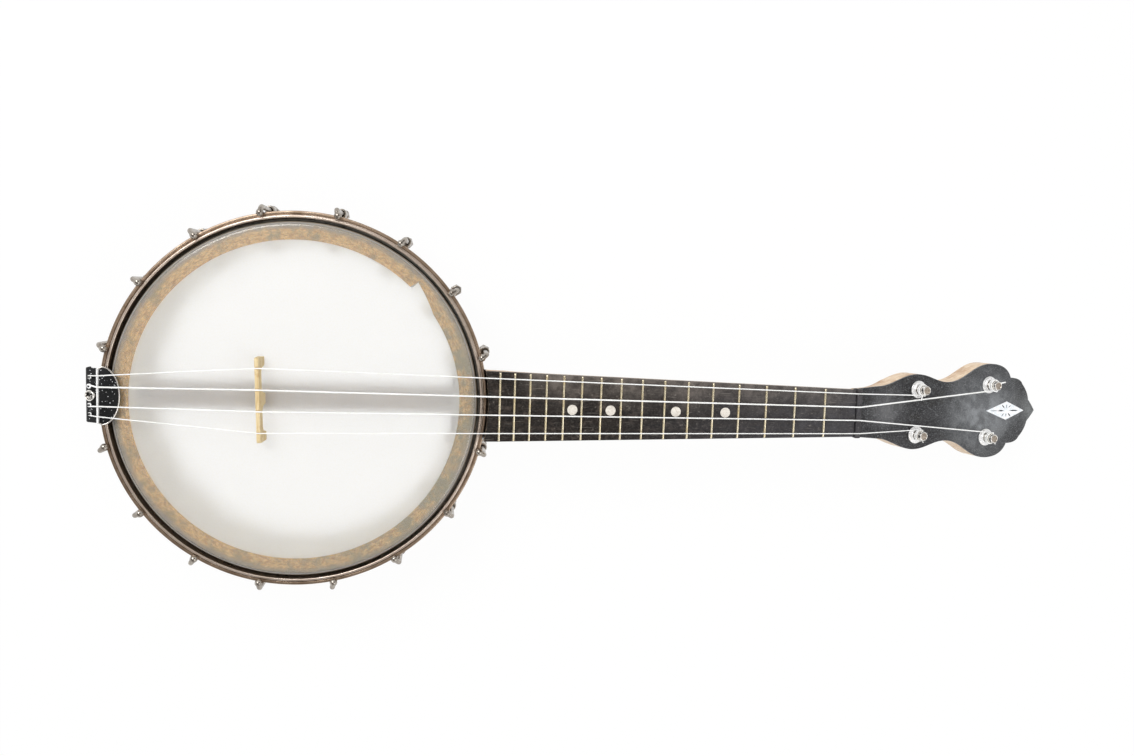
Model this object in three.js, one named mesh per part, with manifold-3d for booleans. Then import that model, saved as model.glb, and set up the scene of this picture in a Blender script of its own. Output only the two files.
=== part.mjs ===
// Banjo ukulele: an open-back pot with a clear-frosted drumhead, sixteen tension hooks, a dowel-stick neck
// with sixteen frets, a floating bridge and four friction tuners. Sizes are in millimetres.
// The neck runs along +X, the drumhead faces +Z, and the back edge of the rim stands on Z = 0.

import * as THREE from "three";
import { mergeVertices } from "three/addons/utils/BufferGeometryUtils.js";
import Module from "manifold-3d";

const wasm = await Module();
wasm.setup();

// Fits shared by many pieces
const CLEARANCE = 0.3;
const INLAY_CLEARANCE = 0.15;
const OVERRUN = 1;

// Pot: rim, drumhead and the two hoops
const HEAD_DIAMETER = 203.2;
const FILM_THICKNESS = 0.6;
const FILM_GAP = 0.4;
const COLLAR_DEPTH = 16;
const RIM_WALL = 9.7;
const RIM_DEPTH = 52;
const BEARING_EDGE_RADIUS = 1.8;
const RIM_EDGE_ROUND = 1.5;
const LAP_ANGLE = 46.5;
const LAP_STEP = 5;
const LAP_LENGTH = 19;
const FLESH_HOOP_WIDTH = 4.6;
const FLESH_HOOP_HEIGHT = 5.4;
const HOOP_GAP = 1.7;
const HOOP_WALL = 4;
const HOOP_HEIGHT = 10.7;
const HOOP_TOP_OVER_HEAD = 0.2;
const HOOP_INNER_LIP = 1.4;
const HOOP_GROOVE_WIDTH = 0.8;
const HOOP_GROOVE_DEPTH = 2.8;
const HOOP_LIP_STEP = 1.4;

// Tension hooks, their nuts, and the shoes bolted to the rim
const HOOKS_PER_SIDE = 8;
const FIRST_HOOK_FROM_NECK = 29.87;
const HOOK_WIRE = 3;
const HOOK_BALL = 4.3;
const HOOK_STAND_OFF = 1.6;
const HOOK_BEND_RADIUS = 2.2;
const HOOK_REACH = 3.4;
const HOOK_TURN = 24;
const HOOK_TURN_STEP = 2.4;
const HOOK_TURN_START = 1;
const HOOK_TAIL = 3;
const HOOK_CLEARANCE = 0.36;
const NUT_ACROSS_CORNERS = 7.2;
const NUT_HEIGHT = 7;
const SHOE_LEVEL = 24;
const SHOE_BARREL = 6;
const SHOE_HEIGHT = 9;
const SHOE_ARM = 5.6;
const SHOE_BASE = 12;
const SHOE_BASE_THICKNESS = 1.6;
const SHOE_BOLT = 4.6;
const SHOE_WASHER = 11;
const SHOE_WASHER_THICKNESS = 1.2;
const BOLT_HEAD = 8.4;
const BOLT_HEAD_HEIGHT = 3.2;

// Neck, heel, fretboard and frets
const SCALE_LENGTH = 359;
const LAST_FRET_FROM_HOOP = 6.87;
const FRETS = 16;
const FRETBOARD_RISE = 8.2;
const FRETBOARD_THICKNESS = 4.5;
const FRETBOARD_WIDTH_AT_NUT = 28.8;
const FRETBOARD_WIDTH_AT_LAST_FRET = 40.5;
const FRET_WIDTH = 1.3;
const FRET_HEIGHT = 0.9;
const FRET_INSET = 0.5;
const FRET_ROOT = 0.6;
const NECK_DEPTH_AT_NUT = 12;
const NECK_DEPTH_AT_HEEL = 15.5;
const HEEL_DEPTH = 47;
const HEEL_CAP_DEPTH = 43;
const HEEL_FOOT = 17;
const HEEL_CURVE = 34;
const HEEL_ROUND_SHARE = 0.97;
const HEEL_OVERLAP = 3;
const NECK_BACK_POWER = 0.85;
const NECK_TO_HOOP = 0.5;
const NUT_LENGTH = 3.5;
const NUT_OVERHANG = 0.6;
const NUT_RISE = 1.3;
const NUT_FLAT_SHARE = 0.6;

// Headstock
const HEADSTOCK_TILT = 12.8;
const HEADSTOCK_DROP = 2.7;
const HEADSTOCK_THICKNESS = 14;
const FACE_THICKNESS = 1.8;
const HEADSTOCK_ROOT_HALF = 15.1;
const HEADSTOCK_FLARE_START = 18;
const LOWER_LOBE = { at: 47, half: 23.8 };
const WAIST = { at: 72, half: 18.8 };
const LOBE_EASE = 10;
const UPPER_LOBE_EASE = 14;
const SHOULDER_EASE = { along: 2, out: 5 };
const CROWN_EASE = { along: 2, out: 4 };
const TIP_EASE = { along: 5, out: 5 };
const TIP_BOW = 3.4;
const HEADSTOCK_ROOT_SPREAD = 1.2;
const UPPER_LOBE = { at: 106, half: 30.7 };
const SHOULDER_NOTCH = { at: 123, half: 21.7 };
const CROWN = { at: 133.4, half: 17.6 };
const TIP_NOTCH = { at: 139.4, half: 7.2 };
const TIP_AT = 145.2;
const INLAY_AT = 119.8;
const INLAY_HALF_LENGTH = 15.6;
const INLAY_HALF_WIDTH = 6.1;
const INLAY_THICKNESS = 0.7;

// Friction tuners
const LOWER_TUNER = { past: 0.4, inset: 9.5 };
const UPPER_TUNER = { past: -1.7, inset: 13.6 };
const POST_DIAMETER = 5.6;
const POST_HEIGHT = 8.5;
const POST_CUP = 0.5;
const POST_CUP_LIP = 0.6;
const STRING_HOLE = 1.4;
const BUSHING_FLANGE = 11;
const BUSHING_FLANGE_THICKNESS = 1;
const BUSHING_COLLAR_HEIGHT = 1.2;
const BUSHING_WALL = 0.9;
const BUSHING_SHORT = 1;
const BUSHING_COLLAR_TAPER = 0.3;
const PEG_COLLAR = 9;
const PEG_COLLAR_HEIGHT = 2.6;
const PEG_COLLAR_BEVEL = 1;
const BUTTON_WIDTH = 18;
const BUTTON_HEIGHT = 13;
const BUTTON_THICKNESS = 5;
const BUTTON_STEM = { half: 2.6, sunk: 0.5 };
const BUTTON_SHOULDER = { half: 4, drop: 3 };
const BUTTON_BULGE_DROP = 2;
const BUTTON_BULGE_SHARE = 0.55;
const BUTTON_FOOT_SHARE = 0.5;

// Dowel stick, neck brace and end bolt
const DOWEL_WIDTH = 15;
const DOWEL_DEPTH = 22;
const DOWEL_LEVEL = 26;
const TENON_DIAMETER = 12;
const TENON_LENGTH = 22;
const BRACE_TO_WASHER = 0.79;
const BRACE_HEIGHT = 34;
const BRACE_THICKNESS = 2.4;
const END_BOLT = 5;
const END_BOLT_LENGTH = 36;
const END_BOLT_HEAD = 10;
const END_BOLT_HEAD_HEIGHT = 4;

// Tailpiece and its hanger
const TAIL_SIDE = 1.7;
const RIDGE_PAST_HOOP_INSIDE = 2.3;
const RIDGE_OVER_HEAD = 6;
const RIDGE_WIDTH = 1.2;
const RIDGE_HEIGHT = 1.3;
const TAIL_SHEET = 1.2;
const APRON_LENGTH = 11;
const APRON_HALF_WIDTH = 16.2;
const APRON_FALL = 1.6;
const APRON_SHOULDER = 2;
const REAR_LENGTH = 7.4;
const REAR_HALF_WIDTH = 15.2;
const REAR_FALL = 4;
const REAR_FLANGE = 6;
const HANGER_SHEET = 1.5;
const HANGER_WIDTH = 13;
const HANGER_TOP_SHARE = 0.3;
const HANGER_JOG_SLOPE = 0.6;
const HANGER_FOOT_BELOW_BOLT = 9;
const TAIL_SCREW = 3;
const TAIL_SCREW_HEAD = 6.4;
const TAIL_SCREW_HEAD_HEIGHT = 2;
const TAIL_SCREW_TIP = 0.8;
const TAIL_SCREW_SIDE_SHARE = 0.6;
const TAIL_SCREW_CROWN_SHARE = 0.7;
const PIN_DIAMETER = 1;
const PIN_HEIGHT = 2.6;

// Bridge and strings
const BRIDGE_FROM_CENTRE = -19.5;
const BRIDGE_SKEW = 1.9;
const BRIDGE_LENGTH = 47.4;
const BRIDGE_TOP_THICKNESS = 2.1;
const BRIDGE_BASE_THICKNESS = 3.7;
const BRIDGE_END_FOOT = 5;
const BRIDGE_MIDDLE_FOOT = 6;
const BRIDGE_BEAM = 6.6;
const BRIDGE_NOTCH = 0.9;
const BRIDGE_ARCH_LEAN = 1;
const BRIDGE_ARCH_EASE = 2;
const BRIDGE_CORNER = 1;
const BRIDGE_TRAVEL = 3;
const STRING_GAUGES = [0.66, 0.9, 0.76, 0.62];
const STRING_SPACING_AT_NUT = 8.1;
const STRING_SPACING_AT_BRIDGE = 12;
const TAIL_PIN_SIDES = [10.2, 5.2, -5.2, -10.2];
const RIDGE_STRING_SIDES = [11.2, 5, -5.6, -11.2];
const STRING_OVER_NUT = 0.1;
const STRING_OVER_FRETBOARD_AT_BRIDGE = 6.5;
const TIE_TURNS = 0.75;
const COIL_TURNS = 2;
const COIL_END_TURN = 23;
const COIL_GAP = 0.5;
const COIL_START_OVER_COLLAR = 0.5;
const COIL_SWING_OUT = { turn: 13, lift: 0.35 };
const COIL_SWING_BACK = { turn: 6, lift: 0.28 };

// Faces around each kind of round
const RING_SEGMENTS = 56;
const LOOP_STEPS = 24;
const TIE_STEPS = 12;
const CORD_SIDES = 6;
const EDGE_STEPS = 3;
const HEX_SIDES = 6;
const BAR_SIDES = 8;
const TURNED_SIDES = 10;
const HOLE_SIDES = 12;
const BOLT_SIDES = 14;
const BALL_RINGS = 5;
const NECK_BACK_STEPS = 10;
const HEEL_STEPS = 7;
const OUTLINE_STEPS = 5;

// Levels and radii that follow from the sizes above
const HEAD_RADIUS = HEAD_DIAMETER / 2;
const RIM_OUTER = HEAD_RADIUS - FILM_THICKNESS - FILM_GAP;
const RIM_INNER = RIM_OUTER - RIM_WALL;
const HEAD_TOP = RIM_DEPTH + FILM_GAP + FILM_THICKNESS;
const HOOP_INNER = HEAD_RADIUS + HOOP_GAP;
const HOOP_OUTER = HOOP_INNER + HOOP_WALL;
const HOOP_TOP = HEAD_TOP + HOOP_TOP_OVER_HEAD;
const HOOP_BOTTOM = HOOP_TOP - HOOP_HEIGHT;
const HOOP_OUTER_LIP_TOP = HOOP_TOP - HOOP_LIP_STEP;
const FLESH_HOOP_TOP = HOOP_BOTTOM - CLEARANCE;
const FLESH_HOOP_BOTTOM = FLESH_HOOP_TOP - FLESH_HOOP_HEIGHT;
const HOOK_RADIUS = HOOP_OUTER + HOOK_WIRE / 2 + HOOK_STAND_OFF;
const FIRST_HOOK_ANGLE = FIRST_HOOK_FROM_NECK / HOOK_RADIUS;
const NUT_FROM_POT_CENTRE = HOOP_OUTER + LAST_FRET_FROM_HOOP + SCALE_LENGTH * (1 - 2 ** (-FRETS / 12));
const RIDGE_FROM_CENTRE = HOOP_INNER + RIDGE_PAST_HOOP_INSIDE;
const BRACE_HALF = RIM_INNER * Math.sin(FIRST_HOOK_ANGLE) - SHOE_WASHER / 2 - BRACE_TO_WASHER;
const FRETBOARD_TOP = HEAD_TOP + FRETBOARD_RISE;
const NECK_TOP = FRETBOARD_TOP - FRETBOARD_THICKNESS - CLEARANCE;
const POT_CUT = HOOP_OUTER + NECK_TO_HOOP;
const DOWEL_BOTTOM = DOWEL_LEVEL - DOWEL_DEPTH / 2;
const DOWEL_TOP = DOWEL_LEVEL + DOWEL_DEPTH / 2;
const TILT = THREE.MathUtils.degToRad(HEADSTOCK_TILT);
const BUSHING_OUTER = POST_DIAMETER / 2 + CLEARANCE + BUSHING_WALL;
const RIDGE_TOP = HEAD_TOP + RIDGE_OVER_HEAD;

// Finishes
const finish = (color, roughness, metalness) => new THREE.MeshStandardMaterial({ color, roughness, metalness });
const RIM_WOOD = finish(0xc99a63, 0.55, 0);
const NECK_WOOD = finish(0xb9814f, 0.4, 0);
const DARK_WOOD = finish(0x2a2522, 0.45, 0);
const BRIDGE_WOOD = finish(0xc8a352, 0.6, 0);
const DOWEL_WOOD = finish(0xa87545, 0.5, 0);
const FILM = finish(0xf1efe8, 0.5, 0);
const AGED_NICKEL = finish(0x6e5f55, 0.4, 0.9);
const BRIGHT_NICKEL = finish(0xcfccc6, 0.2, 1);
const DULL_ALUMINIUM = finish(0xa9a9a6, 0.45, 0.9);
const PEARL = finish(0xe9edf0, 0.25, 0);
const NYLON = finish(0xf6f6f2, 0.35, 0);
const BUTTON_PLASTIC = finish(0xe7dfc9, 0.35, 0);

// A closed geometry as a solid for cutting and joining.
function solid(geometry) {
  const bare = geometry.index ? geometry.toNonIndexed() : geometry.clone();
  bare.deleteAttribute("normal");
  bare.deleteAttribute("uv");
  const merged = mergeVertices(bare, 1e-4);
  const made = new wasm.Manifold(
    new wasm.Mesh({
      numProp: 3,
      vertProperties: new Float32Array(merged.attributes.position.array),
      triVerts: new Uint32Array(merged.index.array),
    }),
  );
  if (made.status() !== "NoError") {
    throw new Error(`a shape is not closed: ${made.status()}`);
  }
  return made;
}

// The geometry of a solid.
function geometryOf(shape) {
  const mesh = shape.getMesh();
  const geometry = new THREE.BufferGeometry();
  const points = new Float32Array(mesh.numVert * 3);
  for (let i = 0; i < mesh.numVert; i += 1) {
    points.set(mesh.vertProperties.subarray(i * mesh.numProp, i * mesh.numProp + 3), i * 3);
  }
  geometry.setAttribute("position", new THREE.BufferAttribute(points, 3));
  geometry.setIndex(new THREE.BufferAttribute(new Uint32Array(mesh.triVerts), 1));
  geometry.computeVertexNormals();
  return geometry;
}

const joined = (geometries) => geometries.map(solid).reduce((sum, next) => sum.add(next));
const cutBy = (shape, geometries) => geometries.reduce((left, tool) => left.subtract(solid(tool)), shape);

// A box between two corners.
function block([x0, y0, z0], [x1, y1, z1]) {
  const box = new THREE.BoxGeometry(x1 - x0, y1 - y0, z1 - z0);
  return box.translate((x0 + x1) / 2, (y0 + y1) / 2, (z0 + z1) / 2);
}

// A round bar standing on Z, from one height to another.
function post(radius, bottom, top, sides) {
  const bar = new THREE.CylinderGeometry(radius, radius, top - bottom, sides);
  return bar.rotateX(Math.PI / 2).translate(0, 0, (bottom + top) / 2);
}

// A round bar lying along X, from one distance to another.
function rod(radius, from, to, sides) {
  const bar = new THREE.CylinderGeometry(radius, radius, to - from, sides);
  return bar.rotateZ(Math.PI / 2).translate((from + to) / 2, 0, 0);
}

// A turned shape round Z from a list of [radius, height] points, listed with the material on the left.
function turned(profile, segments) {
  const points = profile.map(([radius, height]) => new THREE.Vector2(radius, height));
  return new THREE.LatheGeometry(points, segments).rotateX(Math.PI / 2);
}

// A flat shape drawn in X and Y, raised from one height to another.
function plate(shape, bottom, top, curveSegments = 8) {
  const options = { depth: top - bottom, bevelEnabled: false, curveSegments };
  return new THREE.ExtrudeGeometry(shape, options).translate(0, 0, bottom);
}

// A shape drawn in X and Z, carried along Y from one side to the other.
function sideways(shape, from, to, curveSegments = 4) {
  const options = { depth: to - from, bevelEnabled: false, curveSegments };
  return new THREE.ExtrudeGeometry(shape, options).rotateX(Math.PI / 2).translate(0, to, 0);
}

// A closed skin through rings of points, each ring with the same count, with a fan over each end.
function skin(rings) {
  const count = rings[0].length;
  const points = [];
  const faces = [];
  rings.forEach((ring) => ring.forEach((point) => points.push(point.x, point.y, point.z)));
  for (let r = 0; r + 1 < rings.length; r += 1) {
    for (let i = 0; i < count; i += 1) {
      const a = r * count + i;
      const b = r * count + ((i + 1) % count);
      faces.push(a, b, b + count, a, b + count, a + count);
    }
  }
  const last = (rings.length - 1) * count;
  for (let i = 1; i + 1 < count; i += 1) {
    faces.push(0, i + 1, i);
    faces.push(last, last + i, last + i + 1);
  }
  const geometry = new THREE.BufferGeometry();
  geometry.setAttribute("position", new THREE.Float32BufferAttribute(points, 3));
  geometry.setIndex(faces);
  return geometry;
}

// A round cord through a list of points. Each ring lies square to the mean of the runs beside it.
function cord(path, radius, sides) {
  const runs = path.slice(1).map((point, i) => point.clone().sub(path[i]).normalize());
  const headings = path.map((point, i) => {
    const before = runs[Math.max(i - 1, 0)];
    const after = runs[Math.min(i, runs.length - 1)];
    return before.clone().add(after).normalize();
  });
  let across = new THREE.Vector3(0.123, 0.456, 0.881).cross(headings[0]).normalize();
  const rings = path.map((point, i) => {
    const heading = headings[i];
    across = across.clone().addScaledVector(heading, -across.dot(heading)).normalize();
    const up = heading.clone().cross(across);
    const ring = [];
    for (let k = 0; k < sides; k += 1) {
      const turn = (2 * Math.PI * k) / sides;
      const offset = across.clone().multiplyScalar(Math.cos(turn)).addScaledVector(up, Math.sin(turn));
      ring.push(point.clone().addScaledVector(offset, radius));
    }
    return ring;
  });
  return skin(rings);
}

function named(name, geometry, material) {
  const mesh = new THREE.Mesh(geometry, material);
  mesh.name = name;
  return mesh;
}

// The angles, in radians from the neck, of the hooks on both sides of the pot.
function hookAngles() {
  const step = (Math.PI - 2 * FIRST_HOOK_ANGLE) / (HOOKS_PER_SIDE - 1);
  const oneSide = Array.from({ length: HOOKS_PER_SIDE }, (_, i) => FIRST_HOOK_ANGLE + step * i);
  return [...oneSide, ...oneSide.map((angle) => 2 * Math.PI - angle).reverse()];
}

// Points of an arc in a turned profile, about a centre given by its radius and height.
function arcPoints(centreRadius, centreHeight, radius, fromDegrees, toDegrees, steps) {
  return Array.from({ length: steps + 1 }, (_, i) => {
    const turn = THREE.MathUtils.degToRad(fromDegrees + ((toDegrees - fromDegrees) * i) / steps);
    return [centreRadius + radius * Math.cos(turn), centreHeight + radius * Math.sin(turn)];
  });
}

// The bent-wood rim, with its bearing edge, its lapped seam inside, and the holes through its wall.
function rimGeometry() {
  const edgeCentre = RIM_OUTER - BEARING_EDGE_RADIUS;
  const edgeLevel = RIM_DEPTH - BEARING_EDGE_RADIUS;
  const profile = [
    [RIM_INNER, 0],
    [RIM_OUTER - RIM_EDGE_ROUND, 0],
    [RIM_OUTER, RIM_EDGE_ROUND],
    ...arcPoints(edgeCentre, edgeLevel, BEARING_EDGE_RADIUS, 0, 90, EDGE_STEPS),
    [RIM_INNER, RIM_DEPTH],
    [RIM_INNER, 0],
  ];
  const lapTurn = THREE.MathUtils.degToRad(LAP_ANGLE);
  const lapEnd = lapTurn - LAP_LENGTH / RIM_INNER;
  const lap = new THREE.Shape();
  lap.moveTo((RIM_INNER + LAP_STEP) * Math.cos(lapTurn), (RIM_INNER + LAP_STEP) * Math.sin(lapTurn));
  lap.lineTo((RIM_INNER - LAP_STEP) * Math.cos(lapTurn), (RIM_INNER - LAP_STEP) * Math.sin(lapTurn));
  lap.lineTo((RIM_INNER - LAP_STEP) * Math.cos(lapEnd), (RIM_INNER - LAP_STEP) * Math.sin(lapEnd));
  lap.lineTo(RIM_INNER * Math.cos(lapEnd), RIM_INNER * Math.sin(lapEnd));
  const boltHole = SHOE_BOLT / 2 + CLEARANCE;
  const half = DOWEL_WIDTH / 2 + CLEARANCE;
  const cuts = hookAngles().map((angle) =>
    rod(boltHole, RIM_INNER - OVERRUN, RIM_OUTER + OVERRUN, BAR_SIDES).translate(0, 0, SHOE_LEVEL).rotateZ(angle),
  );
  cuts.push(plate(lap, -OVERRUN, RIM_DEPTH + OVERRUN));
  cuts.push(
    block([0, -half, DOWEL_BOTTOM - CLEARANCE], [RIM_OUTER + OVERRUN, half, DOWEL_TOP + CLEARANCE]),
  );
  cuts.push(
    rod(END_BOLT / 2 + CLEARANCE, -RIM_OUTER - OVERRUN, 0, HOLE_SIDES).translate(0, 0, DOWEL_LEVEL),
  );
  return geometryOf(cutBy(solid(turned(profile, RING_SEGMENTS)), cuts));
}

// The drumhead film: a flat crown that rolls over the bearing edge into its collar.
function drumheadGeometry() {
  const edgeCentre = RIM_OUTER - BEARING_EDGE_RADIUS;
  const edgeLevel = RIM_DEPTH - BEARING_EDGE_RADIUS;
  const inside = BEARING_EDGE_RADIUS + FILM_GAP;
  const outside = inside + FILM_THICKNESS;
  const collarBottom = HEAD_TOP - COLLAR_DEPTH;
  const profile = [
    [0, HEAD_TOP - FILM_THICKNESS],
    ...arcPoints(edgeCentre, edgeLevel, inside, 90, 0, EDGE_STEPS),
    [edgeCentre + inside, collarBottom],
    [edgeCentre + outside, collarBottom],
    ...arcPoints(edgeCentre, edgeLevel, outside, 0, 90, EDGE_STEPS),
    [0, HEAD_TOP],
  ];
  return turned(profile, RING_SEGMENTS);
}

function fleshHoopGeometry() {
  const inner = HEAD_RADIUS + CLEARANCE;
  const outer = inner + FLESH_HOOP_WIDTH;
  const profile = [
    [inner, FLESH_HOOP_BOTTOM],
    [outer, FLESH_HOOP_BOTTOM],
    [outer, FLESH_HOOP_TOP],
    [inner, FLESH_HOOP_TOP],
    [inner, FLESH_HOOP_BOTTOM],
  ];
  return turned(profile, RING_SEGMENTS);
}

// The grooved tension hoop: a tall inner lip, a groove, and a lower outer lip that the hooks pull on.
function tensionHoopGeometry() {
  const grooveInner = HOOP_INNER + HOOP_INNER_LIP;
  const grooveOuter = grooveInner + HOOP_GROOVE_WIDTH;
  const profile = [
    [HOOP_INNER, HOOP_BOTTOM],
    [HOOP_OUTER, HOOP_BOTTOM],
    [HOOP_OUTER, HOOP_OUTER_LIP_TOP],
    [grooveOuter, HOOP_OUTER_LIP_TOP],
    [grooveOuter, HOOP_TOP - HOOP_GROOVE_DEPTH],
    [grooveInner, HOOP_TOP - HOOP_GROOVE_DEPTH],
    [grooveInner, HOOP_TOP],
    [HOOP_INNER, HOOP_TOP],
    [HOOP_INNER, HOOP_BOTTOM],
  ];
  return turned(profile, RING_SEGMENTS);
}

// One hook with its nut, standing at the pot's centre and reaching inward along -X.
function hookGeometry(turn) {
  const ballLevel = HOOP_OUTER_LIP_TOP + CLEARANCE + HOOK_BALL / 2;
  const shoeBottom = SHOE_LEVEL - SHOE_HEIGHT / 2;
  const nutTop = shoeBottom - CLEARANCE;
  const bend = [60, 30, 0].map((degrees) => {
    const angle = THREE.MathUtils.degToRad(degrees);
    const x = HOOK_BEND_RADIUS * (Math.cos(angle) - 1);
    const z = ballLevel - HOOK_BEND_RADIUS * (1 - Math.sin(angle));
    return new THREE.Vector3(x, 0, z);
  });
  const path = [
    new THREE.Vector3(-HOOK_REACH, 0, ballLevel),
    new THREE.Vector3(-HOOK_BEND_RADIUS, 0, ballLevel),
    ...bend,
    new THREE.Vector3(0, 0, nutTop - NUT_HEIGHT - HOOK_TAIL),
  ];
  const ball = new THREE.SphereGeometry(HOOK_BALL / 2, BAR_SIDES, BALL_RINGS);
  ball.rotateX(Math.PI / 2).translate(-HOOK_REACH, 0, ballLevel);
  const nut = post(NUT_ACROSS_CORNERS / 2, nutTop - NUT_HEIGHT, nutTop, HEX_SIDES);
  const hook = joined([cord(path, HOOK_WIRE / 2, CORD_SIDES), ball, nut]);
  return geometryOf(hook).rotateZ(turn).translate(HOOK_RADIUS, 0, 0);
}

// One shoe with its bolt, washer and bolt head, on the +X side of the rim.
function shoeGeometry() {
  const base = RIM_OUTER + CLEARANCE;
  const washerHalf = SHOE_WASHER / 2;
  const washerOuter = Math.sqrt(RIM_INNER ** 2 - washerHalf ** 2) - CLEARANCE;
  const washerInner = washerOuter - SHOE_WASHER_THICKNESS;
  const parts = [
    rod(SHOE_BASE / 2, base, base + SHOE_BASE_THICKNESS, TURNED_SIDES),
    rod(SHOE_ARM / 2, base, HOOK_RADIUS, HEX_SIDES),
    post(SHOE_BARREL / 2, -SHOE_HEIGHT / 2, SHOE_HEIGHT / 2, BAR_SIDES).translate(HOOK_RADIUS, 0, 0),
    rod(SHOE_BOLT / 2, washerInner, base + SHOE_BASE_THICKNESS / 2, HEX_SIDES),
    rod(washerHalf, washerInner, washerOuter, BAR_SIDES),
    rod(BOLT_HEAD / 2, washerInner - BOLT_HEAD_HEIGHT, washerInner + SHOE_WASHER_THICKNESS / 2, HEX_SIDES),
  ];
  const hookHole = post(HOOK_WIRE / 2 + HOOK_CLEARANCE, -SHOE_HEIGHT, SHOE_HEIGHT, BAR_SIDES);
  return geometryOf(cutBy(joined(parts), [hookHole.translate(HOOK_RADIUS, 0, 0)])).translate(0, 0, SHOE_LEVEL);
}

const fretX = (number) => NUT_FROM_POT_CENTRE - SCALE_LENGTH * (1 - 2 ** (-number / 12));

// Half the fretboard's width at a distance from the pot's centre.
function fretboardHalf(x) {
  const share = (NUT_FROM_POT_CENTRE - x) / (NUT_FROM_POT_CENTRE - fretX(FRETS));
  return THREE.MathUtils.lerp(FRETBOARD_WIDTH_AT_NUT, FRETBOARD_WIDTH_AT_LAST_FRET, share) / 2;
}

// The fretboard with its frets, its pot end hollowed to follow the hoop.
function fretboardGeometry() {
  const bottom = FRETBOARD_TOP - FRETBOARD_THICKNESS;
  const far = NUT_FROM_POT_CENTRE - CLEARANCE;
  const near = HOOP_INNER;
  const outline = new THREE.Shape();
  outline.moveTo(near, -fretboardHalf(near));
  outline.lineTo(far, -fretboardHalf(far));
  outline.lineTo(far, fretboardHalf(far));
  outline.lineTo(near, fretboardHalf(near));
  const board = solid(plate(outline, bottom, FRETBOARD_TOP));
  const crown = new THREE.Shape();
  crown.moveTo(-FRET_WIDTH / 2, -FRET_ROOT);
  crown.lineTo(FRET_WIDTH / 2, -FRET_ROOT);
  crown.lineTo(FRET_WIDTH / 2, FRET_HEIGHT / 3);
  crown.lineTo(FRET_WIDTH / 5, FRET_HEIGHT);
  crown.lineTo(-FRET_WIDTH / 5, FRET_HEIGHT);
  crown.lineTo(-FRET_WIDTH / 2, FRET_HEIGHT / 3);
  let whole = cutBy(board, [post(POT_CUT, bottom - OVERRUN, FRETBOARD_TOP + OVERRUN, RING_SEGMENTS)]);
  for (let number = 1; number <= FRETS; number += 1) {
    const half = fretboardHalf(fretX(number)) - FRET_INSET;
    whole = whole.add(solid(sideways(crown, -half, half).translate(fretX(number), 0, FRETBOARD_TOP)));
  }
  return geometryOf(whole);
}

// One cross-section of the neck: a flat top and a rounded back.
function neckRing(x, half, depth) {
  return Array.from({ length: NECK_BACK_STEPS + 1 }, (_, i) => {
    const turn = (Math.PI * i) / NECK_BACK_STEPS;
    return new THREE.Vector3(x, -half * Math.cos(turn), NECK_TOP - depth * Math.sin(turn) ** NECK_BACK_POWER);
  });
}

// The headstock outline from the nut end to the tip, drawn along +X with its centre line on Y = 0.
function headstockOutline(from) {
  const flare = { at: HEADSTOCK_FLARE_START, half: HEADSTOCK_ROOT_HALF + HEADSTOCK_ROOT_SPREAD };
  const edge = new THREE.Path();
  const bow = (a, b, reach) => {
    edge.bezierCurveTo(a.at + reach, a.half, b.at - reach, b.half, b.at, b.half);
  };
  edge.moveTo(from, HEADSTOCK_ROOT_HALF);
  edge.lineTo(flare.at, flare.half);
  bow(flare, LOWER_LOBE, LOBE_EASE);
  bow(LOWER_LOBE, WAIST, LOBE_EASE);
  bow(WAIST, UPPER_LOBE, UPPER_LOBE_EASE);
  edge.bezierCurveTo(
    ...[UPPER_LOBE.at + LOBE_EASE, UPPER_LOBE.half],
    ...[SHOULDER_NOTCH.at - SHOULDER_EASE.along, SHOULDER_NOTCH.half + SHOULDER_EASE.out],
    ...[SHOULDER_NOTCH.at, SHOULDER_NOTCH.half],
  );
  edge.quadraticCurveTo(CROWN.at - CROWN_EASE.along, CROWN.half + CROWN_EASE.out, CROWN.at, CROWN.half);
  edge.quadraticCurveTo(CROWN.at + TIP_EASE.along, CROWN.half - TIP_EASE.out, TIP_NOTCH.at, TIP_NOTCH.half);
  edge.quadraticCurveTo(TIP_NOTCH.at + TIP_BOW, TIP_NOTCH.half / 2, TIP_AT, 0);
  const oneSide = edge.getPoints(OUTLINE_STEPS);
  const otherSide = oneSide.slice(0, -1).reverse();
  return new THREE.Shape([...oneSide, ...otherSide.map((point) => new THREE.Vector2(point.x, -point.y))]);
}

// The headstock's own frame: its face is Z = 0 there, and X runs along the face from the nut.
function headstockFrame() {
  const frame = new THREE.Group();
  frame.position.set(NUT_FROM_POT_CENTRE, 0, FRETBOARD_TOP - HEADSTOCK_DROP);
  frame.rotation.y = TILT;
  frame.updateMatrix();
  return frame;
}

// The four tuners' seats on the face: two in the lobes of one side, then the same two mirrored.
const lowerSeat = { at: LOWER_LOBE.at + LOWER_TUNER.past, side: LOWER_LOBE.half - LOWER_TUNER.inset };
const upperSeat = { at: UPPER_LOBE.at + UPPER_TUNER.past, side: UPPER_LOBE.half - UPPER_TUNER.inset };
const mirrored = ({ at, side }) => ({ at, side: -side });
const tunerSeats = [lowerSeat, upperSeat, mirrored(upperSeat), mirrored(lowerSeat)];

// Cutters for the four bushing holes, in the headstock's frame, from one level up through its face.
function tunerHoles(bottom) {
  return tunerSeats.map(({ at, side }) =>
    post(BUSHING_OUTER + CLEARANCE, bottom, OVERRUN, HOLE_SIDES).translate(at, side, 0),
  );
}

// Where the face veneer begins, clear of the nut.
function faceStart() {
  return (NUT_LENGTH + CLEARANCE + FACE_THICKNESS * Math.sin(TILT)) / Math.cos(TILT);
}

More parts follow.
